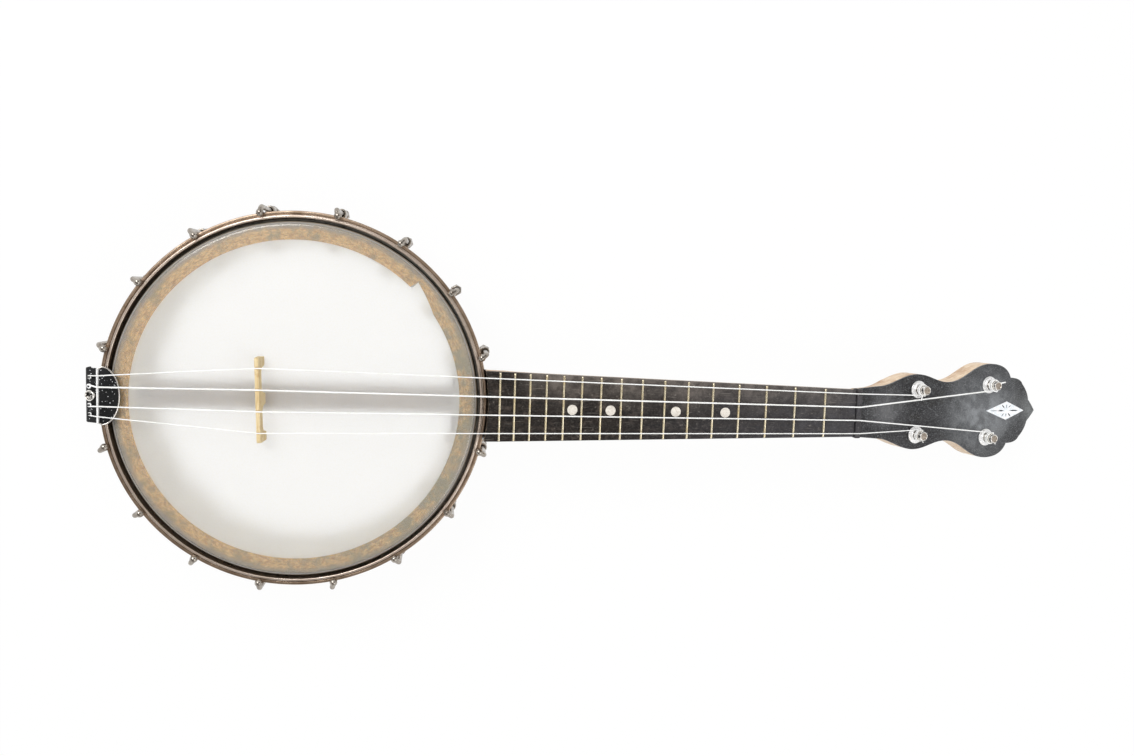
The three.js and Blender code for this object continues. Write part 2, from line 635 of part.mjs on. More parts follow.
// The neck, its heel and the headstock behind the face, carved from one length of wood.
function neckGeometry() {
  const heelStart = RIM_OUTER - HEEL_OVERLAP;
  const footEnd = RIM_OUTER + HEEL_FOOT;
  const curveEnd = footEnd + HEEL_CURVE;
  const nutEnd = NUT_FROM_POT_CENTRE + NUT_LENGTH;
  const rings = [neckRing(heelStart, fretboardHalf(heelStart), HEEL_DEPTH)];
  const wholeRise = 1 - Math.sqrt(1 - HEEL_ROUND_SHARE);
  for (let i = 0; i <= HEEL_STEPS; i += 1) {
    const x = footEnd + (HEEL_CURVE * i) / HEEL_STEPS;
    const rise = 1 - Math.sqrt(1 - (1 - i / HEEL_STEPS) ** 2 * HEEL_ROUND_SHARE);
    const depth = THREE.MathUtils.lerp(NECK_DEPTH_AT_HEEL, HEEL_DEPTH, rise / wholeRise);
    rings.push(neckRing(x, fretboardHalf(x), depth));
  }
  for (const share of [0.5, 1]) {
    const x = THREE.MathUtils.lerp(curveEnd, nutEnd, share);
    rings.push(neckRing(x, fretboardHalf(x), THREE.MathUtils.lerp(NECK_DEPTH_AT_HEEL, NECK_DEPTH_AT_NUT, share)));
  }
  const blank = plate(headstockOutline(-OVERRUN), -HEADSTOCK_THICKNESS, -FACE_THICKNESS - CLEARANCE);
  const frame = headstockFrame();
  const tenonHole = rod(TENON_DIAMETER / 2 + CLEARANCE, 0, RIM_OUTER + CLEARANCE + TENON_LENGTH, HOLE_SIDES);
  const cuts = [
    ...tunerHoles(-HEADSTOCK_THICKNESS - OVERRUN).map((hole) => hole.applyMatrix4(frame.matrix)),
    post(RIM_OUTER + CLEARANCE, -OVERRUN, FLESH_HOOP_BOTTOM - CLEARANCE, RING_SEGMENTS),
    post(POT_CUT, FLESH_HOOP_BOTTOM - CLEARANCE - OVERRUN, FRETBOARD_TOP, RING_SEGMENTS),
    block([0, -RIM_OUTER, -RIM_OUTER], [curveEnd, RIM_OUTER, NECK_TOP - HEEL_CAP_DEPTH]),
    tenonHole.translate(0, 0, DOWEL_LEVEL),
  ];
  return geometryOf(cutBy(joined([skin(rings), blank.applyMatrix4(frame.matrix)]), cuts));
}

function stringNutGeometry() {
  const near = NUT_FROM_POT_CENTRE;
  const half = FRETBOARD_WIDTH_AT_NUT / 2 + NUT_OVERHANG;
  const section = new THREE.Shape();
  section.moveTo(near, NECK_TOP + CLEARANCE);
  section.lineTo(near + NUT_LENGTH, NECK_TOP + CLEARANCE);
  section.lineTo(near + NUT_LENGTH, FRETBOARD_TOP + NUT_RISE / 3);
  section.lineTo(near + NUT_LENGTH * NUT_FLAT_SHARE, FRETBOARD_TOP + NUT_RISE);
  section.lineTo(near, FRETBOARD_TOP + NUT_RISE);
  const slots = STRING_GAUGES.map((gauge, i) => {
    const reach = gauge / 2 + CLEARANCE;
    const y = nutSide(i);
    const floor = nutStringLevel(i) - reach;
    const far = near + NUT_LENGTH + OVERRUN;
    return block([near - OVERRUN, y - reach, floor], [far, y + reach, FRETBOARD_TOP + NUT_RISE + OVERRUN]);
  });
  return geometryOf(cutBy(solid(sideways(section, -half, half)), slots));
}

function headstockFaceGeometry() {
  const cuts = tunerHoles(-FACE_THICKNESS - OVERRUN);
  cuts.push(diamond(INLAY_CLEARANCE, -INLAY_THICKNESS - CLEARANCE, OVERRUN));
  return geometryOf(cutBy(solid(plate(headstockOutline(faceStart()), -FACE_THICKNESS, 0)), cuts));
}

// The four-sided pearl inlay, or with a margin the pocket that holds it.
function diamond(margin, bottom, top) {
  const shape = new THREE.Shape();
  const stretch = margin * (1 + INLAY_HALF_LENGTH / INLAY_HALF_WIDTH);
  shape.moveTo(INLAY_AT - INLAY_HALF_LENGTH - stretch, 0);
  shape.lineTo(INLAY_AT, -INLAY_HALF_WIDTH - margin);
  shape.lineTo(INLAY_AT + INLAY_HALF_LENGTH + stretch, 0);
  shape.lineTo(INLAY_AT, INLAY_HALF_WIDTH + margin);
  return plate(shape, bottom, top);
}

// One friction peg: the slotted post, its collar behind the headstock, and the button.
function tunerGeometry(hand) {
  const radius = POST_DIAMETER / 2;
  const cup = radius - POST_CUP_LIP;
  const back = -HEADSTOCK_THICKNESS - CLEARANCE;
  const collarBottom = back - PEG_COLLAR_HEIGHT;
  const profile = [
    [0, collarBottom],
    [PEG_COLLAR / 2 - PEG_COLLAR_BEVEL, collarBottom],
    [PEG_COLLAR / 2, back - PEG_COLLAR_BEVEL],
    [PEG_COLLAR / 2, back],
    [radius, back],
    [radius, POST_HEIGHT],
    [cup, POST_HEIGHT],
    [cup, POST_HEIGHT - POST_CUP],
    [0, POST_HEIGHT - POST_CUP],
  ];
  const half = BUTTON_WIDTH / 2;
  const foot = half * BUTTON_FOOT_SHARE;
  const stemTop = collarBottom + BUTTON_STEM.sunk;
  const shoulder = collarBottom - BUTTON_SHOULDER.drop;
  const bulge = collarBottom - BUTTON_BULGE_DROP;
  const widest = collarBottom - BUTTON_HEIGHT * BUTTON_BULGE_SHARE;
  const bottom = collarBottom - BUTTON_HEIGHT;
  const button = new THREE.Shape();
  button.moveTo(-BUTTON_STEM.half, stemTop);
  button.bezierCurveTo(-BUTTON_SHOULDER.half, shoulder, -half, bulge, -half, widest);
  button.bezierCurveTo(-half, bottom, -foot, bottom, 0, bottom);
  button.bezierCurveTo(foot, bottom, half, bottom, half, widest);
  button.bezierCurveTo(half, bulge, BUTTON_SHOULDER.half, shoulder, BUTTON_STEM.half, stemTop);
  const paddle = sideways(button, -BUTTON_THICKNESS / 2, BUTTON_THICKNESS / 2, OUTLINE_STEPS);
  const endTurn = 2 * Math.PI * COIL_TURNS + THREE.MathUtils.degToRad(COIL_END_TURN);
  const hole = rod(STRING_HOLE / 2, -radius - OVERRUN, radius + OVERRUN, HEX_SIDES);
  hole.rotateZ(hand * (endTurn - Math.PI / 2)).translate(0, 0, holeLevel());
  return geometryOf(cutBy(joined([turned(profile, TURNED_SIDES), paddle]), [hole]));
}

function bushingGeometry() {
  const bore = POST_DIAMETER / 2 + CLEARANCE;
  const flangeTop = CLEARANCE + BUSHING_FLANGE_THICKNESS;
  const collarTop = flangeTop + BUSHING_COLLAR_HEIGHT;
  const bottom = BUSHING_SHORT - HEADSTOCK_THICKNESS;
  const profile = [
    [bore, bottom],
    [BUSHING_OUTER, bottom],
    [BUSHING_OUTER, CLEARANCE],
    [BUSHING_FLANGE / 2, CLEARANCE],
    [BUSHING_FLANGE / 2, flangeTop],
    [BUSHING_OUTER, flangeTop],
    [BUSHING_OUTER - BUSHING_COLLAR_TAPER, collarTop],
    [bore, collarTop],
    [bore, bottom],
  ];
  return turned(profile, TURNED_SIDES);
}

// The stick that carries the neck through the pot, with the round tenon that enters the heel.
function dowelStickGeometry() {
  const half = DOWEL_WIDTH / 2;
  const tailEnd = -Math.sqrt(RIM_INNER ** 2 - half ** 2) + CLEARANCE;
  const neckEnd = RIM_OUTER - CLEARANCE;
  const stick = joined([
    block([tailEnd, -half, DOWEL_BOTTOM], [neckEnd, half, DOWEL_TOP]),
    rod(TENON_DIAMETER / 2, neckEnd - OVERRUN, RIM_OUTER + TENON_LENGTH, HOLE_SIDES).translate(0, 0, DOWEL_LEVEL),
  ]);
  const boltEnd = endBoltHeadX() + END_BOLT_LENGTH + CLEARANCE;
  const boltHole = rod(END_BOLT / 2 + CLEARANCE, tailEnd - OVERRUN, boltEnd, HOLE_SIDES);
  return geometryOf(cutBy(stick, [boltHole.translate(0, 0, DOWEL_LEVEL)]));
}

// The brace plate that holds the stick against the inside of the rim, beside the heel.
function neckBraceGeometry() {
  const outer = Math.sqrt(RIM_INNER ** 2 - BRACE_HALF ** 2) - CLEARANCE;
  const half = DOWEL_WIDTH / 2 + CLEARANCE;
  const plateBody = block(
    [outer - BRACE_THICKNESS, -BRACE_HALF, DOWEL_LEVEL - BRACE_HEIGHT / 2],
    [outer, BRACE_HALF, DOWEL_LEVEL + BRACE_HEIGHT / 2],
  );
  const opening = block(
    [outer - BRACE_THICKNESS - OVERRUN, -half, DOWEL_BOTTOM - CLEARANCE],
    [outer + OVERRUN, half, DOWEL_TOP + CLEARANCE],
  );
  return geometryOf(cutBy(solid(plateBody), [opening]));
}

// The two ends of the tailpiece's sloping rear plate, at the middle of the sheet, in X and Z.
function rearPlateLine() {
  const top = RIDGE_TOP - RIDGE_HEIGHT - TAIL_SHEET / 2;
  return {
    from: new THREE.Vector2(-RIDGE_FROM_CENTRE, top),
    to: new THREE.Vector2(-RIDGE_FROM_CENTRE - REAR_LENGTH, top - REAR_FALL),
  };
}

// A bent strip of sheet in X and Z: the line through its middle, thickened to both sides.
function strip(points, thickness) {
  const normals = points.map((point, i) => {
    const before = points[Math.max(i - 1, 0)];
    const after = points[Math.min(i + 1, points.length - 1)];
    const into = point.clone().sub(before).normalize();
    const out = after.clone().sub(point).normalize();
    const mean = into.clone().add(out).normalize();
    const spread = Math.max(into.lengthSq() > 0 ? mean.dot(into) : 1, out.lengthSq() > 0 ? mean.dot(out) : 1);
    return new THREE.Vector2(-mean.y, mean.x).multiplyScalar(thickness / 2 / Math.max(spread, 0.5));
  });
  const left = points.map((point, i) => point.clone().add(normals[i]));
  const right = points.map((point, i) => point.clone().sub(normals[i])).reverse();
  return new THREE.Shape([...left, ...right]);
}

// A frame whose Z stands square on the rear plate, at its middle.
function rearPlateFrame() {
  const { from, to } = rearPlateLine();
  const frame = new THREE.Group();
  frame.position.set((from.x + to.x) / 2, TAIL_SIDE, (from.y + to.y) / 2);
  frame.rotation.y = -Math.atan2(from.y - to.y, from.x - to.x);
  frame.updateMatrix();
  return frame;
}

// The bent-sheet tailpiece: apron over the hoop, ridge under the strings, rear plate with pins, and flange.
function tailpieceGeometry() {
  const { from, to } = rearPlateLine();
  const apronEnd = new THREE.Vector2(-RIDGE_FROM_CENTRE + APRON_LENGTH, from.y - APRON_FALL);
  const flangeEnd = new THREE.Vector2(to.x, to.y - REAR_FLANGE);
  const side = strip([apronEnd, from, to, flangeEnd], TAIL_SHEET);
  const sheet = solid(sideways(side, -APRON_HALF_WIDTH, APRON_HALF_WIDTH));
  const outline = new THREE.Shape();
  const apronStart = -RIDGE_FROM_CENTRE + APRON_SHOULDER;
  const rearEnd = to.x - TAIL_SHEET;
  outline.moveTo(rearEnd, -REAR_HALF_WIDTH);
  outline.lineTo(-RIDGE_FROM_CENTRE, -REAR_HALF_WIDTH);
  outline.lineTo(apronStart, -APRON_HALF_WIDTH);
  const roundLength = APRON_LENGTH - APRON_SHOULDER;
  outline.absellipse(apronStart, 0, roundLength, APRON_HALF_WIDTH, -Math.PI / 2, Math.PI / 2, false, 0);
  outline.lineTo(-RIDGE_FROM_CENTRE, REAR_HALF_WIDTH);
  outline.lineTo(rearEnd, REAR_HALF_WIDTH);
  const trimmed = sheet.intersect(solid(plate(outline, 0, RIDGE_TOP)));
  const ridge = block(
    [-RIDGE_FROM_CENTRE - RIDGE_WIDTH / 2, -REAR_HALF_WIDTH, from.y],
    [-RIDGE_FROM_CENTRE + RIDGE_WIDTH / 2, REAR_HALF_WIDTH, RIDGE_TOP],
  );
  const frame = rearPlateFrame();
  const pinTop = TAIL_SHEET / 2 + PIN_HEIGHT;
  const pins = TAIL_PIN_SIDES.map((y) => post(PIN_DIAMETER / 2, 0, pinTop, BAR_SIDES).translate(0, y, 0));
  const screwHole = post(TAIL_SCREW / 2 + CLEARANCE, -TAIL_SHEET, TAIL_SHEET, TURNED_SIDES);
  const placed = (geometry) => geometry.applyMatrix4(frame.matrix);
  const shifted = trimmed.add(solid(ridge)).translate([0, TAIL_SIDE, 0]);
  const whole = pins.reduce((sum, pin) => sum.add(solid(placed(pin))), shifted);
  return geometryOf(whole.subtract(solid(placed(screwHole))));
}

// The strap that ties the tailpiece to the end of the dowel stick, under the rear plate and down the rim.
function tailpieceHangerGeometry() {
  const { from, to } = rearPlateLine();
  const drop = TAIL_SHEET / 2 + CLEARANCE + HANGER_SHEET / 2;
  const along = to.clone().sub(from).normalize();
  const below = new THREE.Vector2(along.y, -along.x).multiplyScalar(-drop);
  const top = from.clone().addScaledVector(along, REAR_LENGTH * HANGER_TOP_SHARE).add(below);
  const down = to.x + TAIL_SHEET / 2 + CLEARANCE + HANGER_SHEET / 2;
  const corner = new THREE.Vector2(down, top.y + ((down - top.x) * along.y) / along.x);
  const rimSide = -RIM_OUTER - CLEARANCE - HANGER_SHEET / 2;
  const line = [
    top,
    corner,
    new THREE.Vector2(down, FLESH_HOOP_BOTTOM + OVERRUN),
    new THREE.Vector2(rimSide, FLESH_HOOP_BOTTOM - (rimSide - down) * HANGER_JOG_SLOPE),
    new THREE.Vector2(rimSide, DOWEL_LEVEL - HANGER_FOOT_BELOW_BOLT),
  ];
  const half = HANGER_WIDTH / 2;
  const strap = solid(sideways(strip(line, HANGER_SHEET), TAIL_SIDE - half, TAIL_SIDE + half));
  const screwHole = post(TAIL_SCREW / 2 + CLEARANCE, -REAR_LENGTH, REAR_LENGTH, TURNED_SIDES);
  const boltHole = rod(END_BOLT / 2 + CLEARANCE, rimSide - HANGER_SHEET, rimSide + HANGER_SHEET, HOLE_SIDES);
  const cuts = [screwHole.applyMatrix4(rearPlateFrame().matrix), boltHole.translate(0, 0, DOWEL_LEVEL)];
  return geometryOf(cutBy(strap, cuts));
}

// The screw through the rear plate and the strap, with its round head.
function tailpieceScrewGeometry() {
  const top = TAIL_SHEET / 2 + CLEARANCE;
  const under = -TAIL_SHEET / 2 - 2 * CLEARANCE - HANGER_SHEET;
  const head = TAIL_SCREW_HEAD / 2;
  const profile = [
    [0, under - TAIL_SCREW_TIP],
    [TAIL_SCREW / 2, under - TAIL_SCREW_TIP],
    [TAIL_SCREW / 2, top],
    [head, top],
    [head, top + TAIL_SCREW_HEAD_HEIGHT * TAIL_SCREW_SIDE_SHARE],
    [head * TAIL_SCREW_CROWN_SHARE, top + TAIL_SCREW_HEAD_HEIGHT],
    [0, top + TAIL_SCREW_HEAD_HEIGHT],
  ];
  return turned(profile, HOLE_SIDES).applyMatrix4(rearPlateFrame().matrix);
}

const endBoltHeadX = () => -RIM_OUTER - 2 * CLEARANCE - HANGER_SHEET;

function endBoltGeometry() {
  const seat = endBoltHeadX();
  const profile = [
    [0, 0],
    [END_BOLT / 2, 0],
    [END_BOLT / 2, END_BOLT_LENGTH],
    [END_BOLT_HEAD / 2, END_BOLT_LENGTH],
    [END_BOLT_HEAD / 2, END_BOLT_LENGTH + END_BOLT_HEAD_HEIGHT / 3],
    [END_BOLT_HEAD / 3, END_BOLT_LENGTH + END_BOLT_HEAD_HEIGHT],
    [0, END_BOLT_LENGTH + END_BOLT_HEAD_HEIGHT],
  ];
  const bolt = turned(profile, BOLT_SIDES).translate(0, 0, -END_BOLT_LENGTH);
  return bolt.rotateY(-Math.PI / 2).translate(seat, 0, DOWEL_LEVEL);
}

const bridgeStringSide = (i) => TAIL_SIDE + STRING_SPACING_AT_BRIDGE * (1.5 - i);
const nutSide = (i) => STRING_SPACING_AT_NUT * (1.5 - i);
const nutStringLevel = (i) => FRETBOARD_TOP + NUT_RISE - STRING_OVER_NUT + STRING_GAUGES[i] / 2;
const bridgeStringLevel = () => FRETBOARD_TOP + STRING_OVER_FRETBOARD_AT_BRIDGE;

// The three-footed bridge, standing on the drumhead across the strings.
function bridgeGeometry() {
  const foot = HEAD_TOP + CLEARANCE;
  const top = bridgeStringLevel() - STRING_GAUGES[1] / 2 - CLEARANCE + BRIDGE_NOTCH / 2;
  const half = BRIDGE_LENGTH / 2;
  const midFoot = BRIDGE_MIDDLE_FOOT / 2;
  const archTop = top - BRIDGE_BEAM;
  const inner = half - BRIDGE_END_FOOT;
  const lean = BRIDGE_ARCH_LEAN;
  const ease = BRIDGE_ARCH_LEAN + BRIDGE_ARCH_EASE;
  const oneSide = [
    [midFoot, foot],
    [midFoot + lean, archTop - BRIDGE_ARCH_EASE],
    [midFoot + ease, archTop],
    [inner - ease, archTop],
    [inner - lean, archTop - BRIDGE_ARCH_EASE],
    [inner, foot],
    [half, foot],
    [half, top - BRIDGE_CORNER],
    [half - BRIDGE_CORNER, top],
  ].map(([x, y]) => new THREE.Vector2(x, y));
  const otherSide = oneSide.map((point) => new THREE.Vector2(-point.x, point.y)).reverse();
  const face = new THREE.Shape([...oneSide, ...otherSide]);
  const thick = BRIDGE_BASE_THICKNESS / 2;
  const thin = BRIDGE_TOP_THICKNESS / 2;
  const sawn = solid(plate(face, -thick, thick).rotateX(Math.PI / 2).rotateZ(Math.PI / 2));
  const section = new THREE.Shape();
  section.moveTo(-thick, foot);
  section.lineTo(thick, foot);
  section.lineTo(thin, top);
  section.lineTo(-thin, top);
  const tapered = sawn.intersect(solid(sideways(section, -half - OVERRUN, half + OVERRUN)));
  const notches = STRING_GAUGES.map((gauge, i) => {
    const side = bridgeStringSide(i) - TAIL_SIDE;
    const drift = ((BRIDGE_TRAVEL + thick) * Math.abs(side - RIDGE_STRING_SIDES[i])) / tailRun();
    const reach = gauge / 2 + CLEARANCE;
    const floor = bridgeStringLevel() - reach - BRIDGE_TRAVEL * tailSlope();
    const wide = reach + drift;
    return block([-BRIDGE_BASE_THICKNESS, side - wide, floor], [BRIDGE_BASE_THICKNESS, side + wide, top + OVERRUN]);
  });
  const skew = THREE.MathUtils.degToRad(BRIDGE_SKEW);
  return geometryOf(cutBy(tapered, notches)).rotateZ(skew).translate(BRIDGE_FROM_CENTRE, TAIL_SIDE, 0);
}

const ridgeStringLevel = (i) => RIDGE_TOP + CLEARANCE + STRING_GAUGES[i] / 2;

const tailRun = () => BRIDGE_FROM_CENTRE + RIDGE_FROM_CENTRE;

// How fast the strings fall from the bridge to the tailpiece.
const tailSlope = () => (bridgeStringLevel() - ridgeStringLevel(1)) / tailRun();

const coilRadius = (gauge) => POST_DIAMETER / 2 + CLEARANCE + gauge / 2;
const coilPitch = (gauge) => gauge + COIL_GAP;
const coilStart = (gauge) =>
  CLEARANCE + BUSHING_FLANGE_THICKNESS + BUSHING_COLLAR_HEIGHT + COIL_START_OVER_COLLAR + gauge / 2;
const holeLevel = () => coilStart(STRING_GAUGES[1]) + COIL_TURNS * coilPitch(STRING_GAUGES[1]);

// Points of one string's turns round its post, in the headstock's frame, seat at the origin.
// hand is 1 where the turns run from the -Y side towards +X, and -1 on the other side of the headstock.
function coilPoints(gauge, hand) {
  const radius = coilRadius(gauge);
  const steps = Math.round(COIL_TURNS * LOOP_STEPS);
  return Array.from({ length: steps + 1 }, (_, i) => {
    const turn = (2 * Math.PI * i) / LOOP_STEPS;
    const height = coilStart(gauge) + (coilPitch(gauge) * i) / LOOP_STEPS;
    return new THREE.Vector3(radius * Math.sin(turn), -hand * radius * Math.cos(turn), height);
  });
}

// The end of the turns: a short swing outward, then one straight run square to the post.
function coilEnd(gauge, hand) {
  const radius = coilRadius(gauge);
  const finalTurn = 2 * Math.PI * COIL_TURNS;
  const height = coilStart(gauge) + coilPitch(gauge) * COIL_TURNS;
  const at = (extraDegrees, reach) => {
    const turn = finalTurn + THREE.MathUtils.degToRad(extraDegrees);
    return new THREE.Vector3(reach * Math.sin(turn), -hand * reach * Math.cos(turn), height);
  };
  const out = POST_DIAMETER / 2 + CLEARANCE + gauge;
  const seat = POST_DIAMETER / 2 + CLEARANCE;
  return [
    at(COIL_END_TURN - COIL_SWING_OUT.turn, radius + gauge * COIL_SWING_OUT.lift),
    at(COIL_END_TURN - COIL_SWING_BACK.turn, out + gauge * COIL_SWING_BACK.lift),
    at(COIL_END_TURN, out),
    at(COIL_END_TURN, seat),
  ];
}

// One string along its whole route: pin loop, ridge, bridge, nut, and the turns on its post.
function stringPath(i) {
  const gauge = STRING_GAUGES[i];
  const seat = tunerSeats[i];
  const hand = Math.sign(seat.side);
  const head = headstockFrame().matrix;
  const rear = rearPlateFrame().matrix;
  const pinSide = TAIL_PIN_SIDES[i];
  const bottom = TAIL_SHEET / 2 + CLEARANCE + gauge / 2;
  const pinRadius = PIN_DIAMETER / 2 + CLEARANCE + gauge / 2;
  const loop = [];
  const steps = Math.round(TIE_STEPS * TIE_TURNS);
  for (let k = 0; k <= steps; k += 1) {
    const turn = (2 * Math.PI * (k - steps)) / TIE_STEPS;
    const height = bottom + (coilPitch(gauge) * k) / TIE_STEPS;
    const across = Math.sign(pinSide) * pinRadius * Math.cos(turn);
    loop.push(new THREE.Vector3(pinRadius * Math.sin(turn), pinSide + across, height));
  }
  const tie = loop.map((point) => point.applyMatrix4(rear));
  const over = new THREE.Vector3(-RIDGE_FROM_CENTRE, TAIL_SIDE + RIDGE_STRING_SIDES[i], ridgeStringLevel(i));
  const bridge = new THREE.Vector3(BRIDGE_FROM_CENTRE, bridgeStringSide(i), bridgeStringLevel());
  const nutNear = new THREE.Vector3(NUT_FROM_POT_CENTRE, nutSide(i), nutStringLevel(i));
  const nutFar = new THREE.Vector3(NUT_FROM_POT_CENTRE + NUT_LENGTH * NUT_FLAT_SHARE, nutSide(i), nutStringLevel(i));
  const place = (point) => point.add(new THREE.Vector3(seat.at, seat.side, 0)).applyMatrix4(head);
  const turns = coilPoints(gauge, hand).map(place);
  const end = coilEnd(gauge, hand).map(place);
  return { path: [...tie, over, bridge, nutNear, nutFar, ...turns, ...end], coil: [...turns, ...end] };
}

// The least gap of a coil to itself, measured between points at least half a turn apart.
function coilGap(points, gauge) {
  let least = Infinity;
  points.forEach((point, i) => {
    points.slice(i + LOOP_STEPS / 2).forEach((other) => {
      least = Math.min(least, point.distanceTo(other) - gauge);
    });
  });
  return least;
}

function stringMesh(i) {
  const gauge = STRING_GAUGES[i];
  const { path, coil } = stringPath(i);
  console.log(`string_${i + 1}: least gap between its turns ${coilGap(coil, gauge).toFixed(2)} mm`);
  return named(`string_${i + 1}`, cord(path, gauge / 2, CORD_SIDES), NYLON);
}

const two = (number) => String(number).padStart(2, "0");

function pot() {
  const group = new THREE.Group();
  group.add(named("rim", rimGeometry(), RIM_WOOD));
  group.add(named("drumhead", drumheadGeometry(), FILM));
  group.add(named("flesh_hoop", fleshHoopGeometry(), DULL_ALUMINIUM));
  group.add(named("tension_hoop", tensionHoopGeometry(), AGED_NICKEL));
  const shoe = shoeGeometry();
  hookAngles().forEach((angle, i) => {
    const swing = THREE.MathUtils.degToRad(HOOK_TURN * Math.sin(HOOK_TURN_STEP * i + HOOK_TURN_START));
    const hook = named(`hook_${two(i + 1)}`, hookGeometry(swing), AGED_NICKEL);
    hook.rotation.z = angle;
    group.add(hook);
    const bracket = named(`shoe_${two(i + 1)}`, shoe.clone(), AGED_NICKEL);
    bracket.rotation.z = angle;
    group.add(bracket);
  });
  return group;
}

function neckAssembly() {
  const group = new THREE.Group();
  group.add(named("neck", neckGeometry(), NECK_WOOD));
  group.add(named("fretboard", fretboardGeometry(), DARK_WOOD));
  group.add(named("string_nut", stringNutGeometry(), DARK_WOOD));
  group.add(named("dowel_stick", dowelStickGeometry(), DOWEL_WOOD));
  group.add(named("neck_brace", neckBraceGeometry(), AGED_NICKEL));
  const headstock = headstockFrame();
  headstock.add(named("headstock_face", headstockFaceGeometry(), DARK_WOOD));
  headstock.add(named("diamond_inlay", diamond(0, -INLAY_THICKNESS, 0), PEARL));
  tunerSeats.forEach(({ at, side }, i) => {
    const bushing = named(`tuner_bushing_${i + 1}`, bushingGeometry(), BRIGHT_NICKEL);
    bushing.position.set(at, side, 0);
    headstock.add(bushing);
    const tuner = named(`tuner_${i + 1}`, tunerGeometry(Math.sign(side)), BUTTON_PLASTIC);
    tuner.position.set(at, side, 0);
    headstock.add(tuner);
  });
  group.add(headstock);
  return group;
}

function tailAndStrings() {
  const group = new THREE.Group();
  group.add(named("tailpiece", tailpieceGeometry(), BRIGHT_NICKEL));
  group.add(named("tailpiece_hanger", tailpieceHangerGeometry(), BRIGHT_NICKEL));
  group.add(named("tailpiece_screw", tailpieceScrewGeometry(), BRIGHT_NICKEL));
  group.add(named("end_bolt", endBoltGeometry(), BRIGHT_NICKEL));
  group.add(named("bridge", bridgeGeometry(), BRIDGE_WOOD));
  STRING_GAUGES.forEach((_, i) => group.add(stringMesh(i)));
  return group;
}

// The origin is under the middle of the whole instrument, at the level of the rim's back edge.
function instrument() {
  const whole = new THREE.Group();
  whole.add(pot(), neckAssembly(), tailAndStrings());
  whole.updateMatrixWorld(true);
  const box = new THREE.Box3().setFromObject(whole, true);
  whole.position.set(-(box.min.x + box.max.x) / 2, -(box.min.y + box.max.y) / 2, -box.min.z);
  return whole;
}

export default instrument();
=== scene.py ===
"""Banjo ukulele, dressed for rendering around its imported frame.

Every shape is worked out in millimetres in the pot's own frame: the pot's centre line is Z, the rim's back
edge lies on Z = 0, and the neck runs along +X. Piece.finish moves the points to the frame's metres.
"""

from __future__ import annotations

import logging
import math
from dataclasses import dataclass, field
from enum import Enum

import bmesh
import bpy
import numpy as np
from mathutils import Matrix, Vector


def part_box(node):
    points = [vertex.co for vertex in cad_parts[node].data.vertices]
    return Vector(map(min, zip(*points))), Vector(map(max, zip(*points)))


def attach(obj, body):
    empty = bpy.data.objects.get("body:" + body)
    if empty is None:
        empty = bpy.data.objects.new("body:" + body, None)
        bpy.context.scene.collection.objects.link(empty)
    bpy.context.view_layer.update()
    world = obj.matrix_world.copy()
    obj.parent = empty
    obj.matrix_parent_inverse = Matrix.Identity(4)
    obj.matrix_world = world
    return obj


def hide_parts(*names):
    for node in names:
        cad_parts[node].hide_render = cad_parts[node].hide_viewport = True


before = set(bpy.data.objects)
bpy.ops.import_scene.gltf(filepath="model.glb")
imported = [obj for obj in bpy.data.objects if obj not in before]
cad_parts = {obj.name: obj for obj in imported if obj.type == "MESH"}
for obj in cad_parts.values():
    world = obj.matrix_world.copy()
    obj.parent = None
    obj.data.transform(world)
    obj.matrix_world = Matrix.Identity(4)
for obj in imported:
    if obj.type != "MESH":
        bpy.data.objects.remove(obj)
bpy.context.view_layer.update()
log = logging.getLogger("banjo_ukulele")

MM = 0.001
FULL_TURN = 2 * math.pi
QUARTER_TURN = math.pi / 2
RIM_LOW, RIM_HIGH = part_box("rim")
POT_CENTRE = np.array([(RIM_LOW.x + RIM_HIGH.x) / 2, 0.0, 0.0])
Z_ONTO_X = Matrix.Rotation(QUARTER_TURN, 4, "Y")

# A rounding takes at most this share of a side, so that two roundings on one side never meet
SIDE_SHARE = 0.48
# A slab's flat face starts this many roundings inside the outline, so that it shades flat
FACE_INSET = 1.25
# Points nearer to each other than this, in metres, are one point
MERGE = 2e-6

Table = tuple[tuple[float, ...], ...]


class Body(Enum):
    """The bodies that pieces ride on."""

    INSTRUMENT = "instrument"
    BRIDGE = "bridge"
    TUNER = "tuner_{}"


class Space(Enum):
    """Where a pattern's coordinates come from: the piece's own unrolled surface in mm, or the frame in m."""

    SURFACE = "UV"
    FRAME = "Object"


# Shapes, as whole arrays of points


def points(*axes: np.ndarray | float) -> np.ndarray:
    """Points from the values on each axis, spread to a common shape."""
    return np.stack(np.broadcast_arrays(*axes), axis=-1)


def unit(vectors: np.ndarray) -> np.ndarray:
    """The vectors at length one."""
    return vectors / np.linalg.norm(vectors, axis=-1, keepdims=True)


def moved(grid: np.ndarray, matrix: Matrix) -> np.ndarray:
    """The points in another frame."""
    change = np.array(matrix)
    return grid @ change[:3, :3].T + change[:3, 3]


def lathe(profile: np.ndarray, segments: int) -> np.ndarray:
    """Turns a profile about Z: x = radius cos(turn), y = radius sin(turn), z = height.

    Args:
        profile: (n, 2) radii and heights.
        segments: steps round the axis.

    Returns:
        (n, segments + 1, 3) points.
    """
    turn = np.linspace(0, FULL_TURN, segments + 1)
    radius, height = profile[:, :1], profile[:, 1:]
    return points(radius * np.cos(turn), radius * np.sin(turn), height)


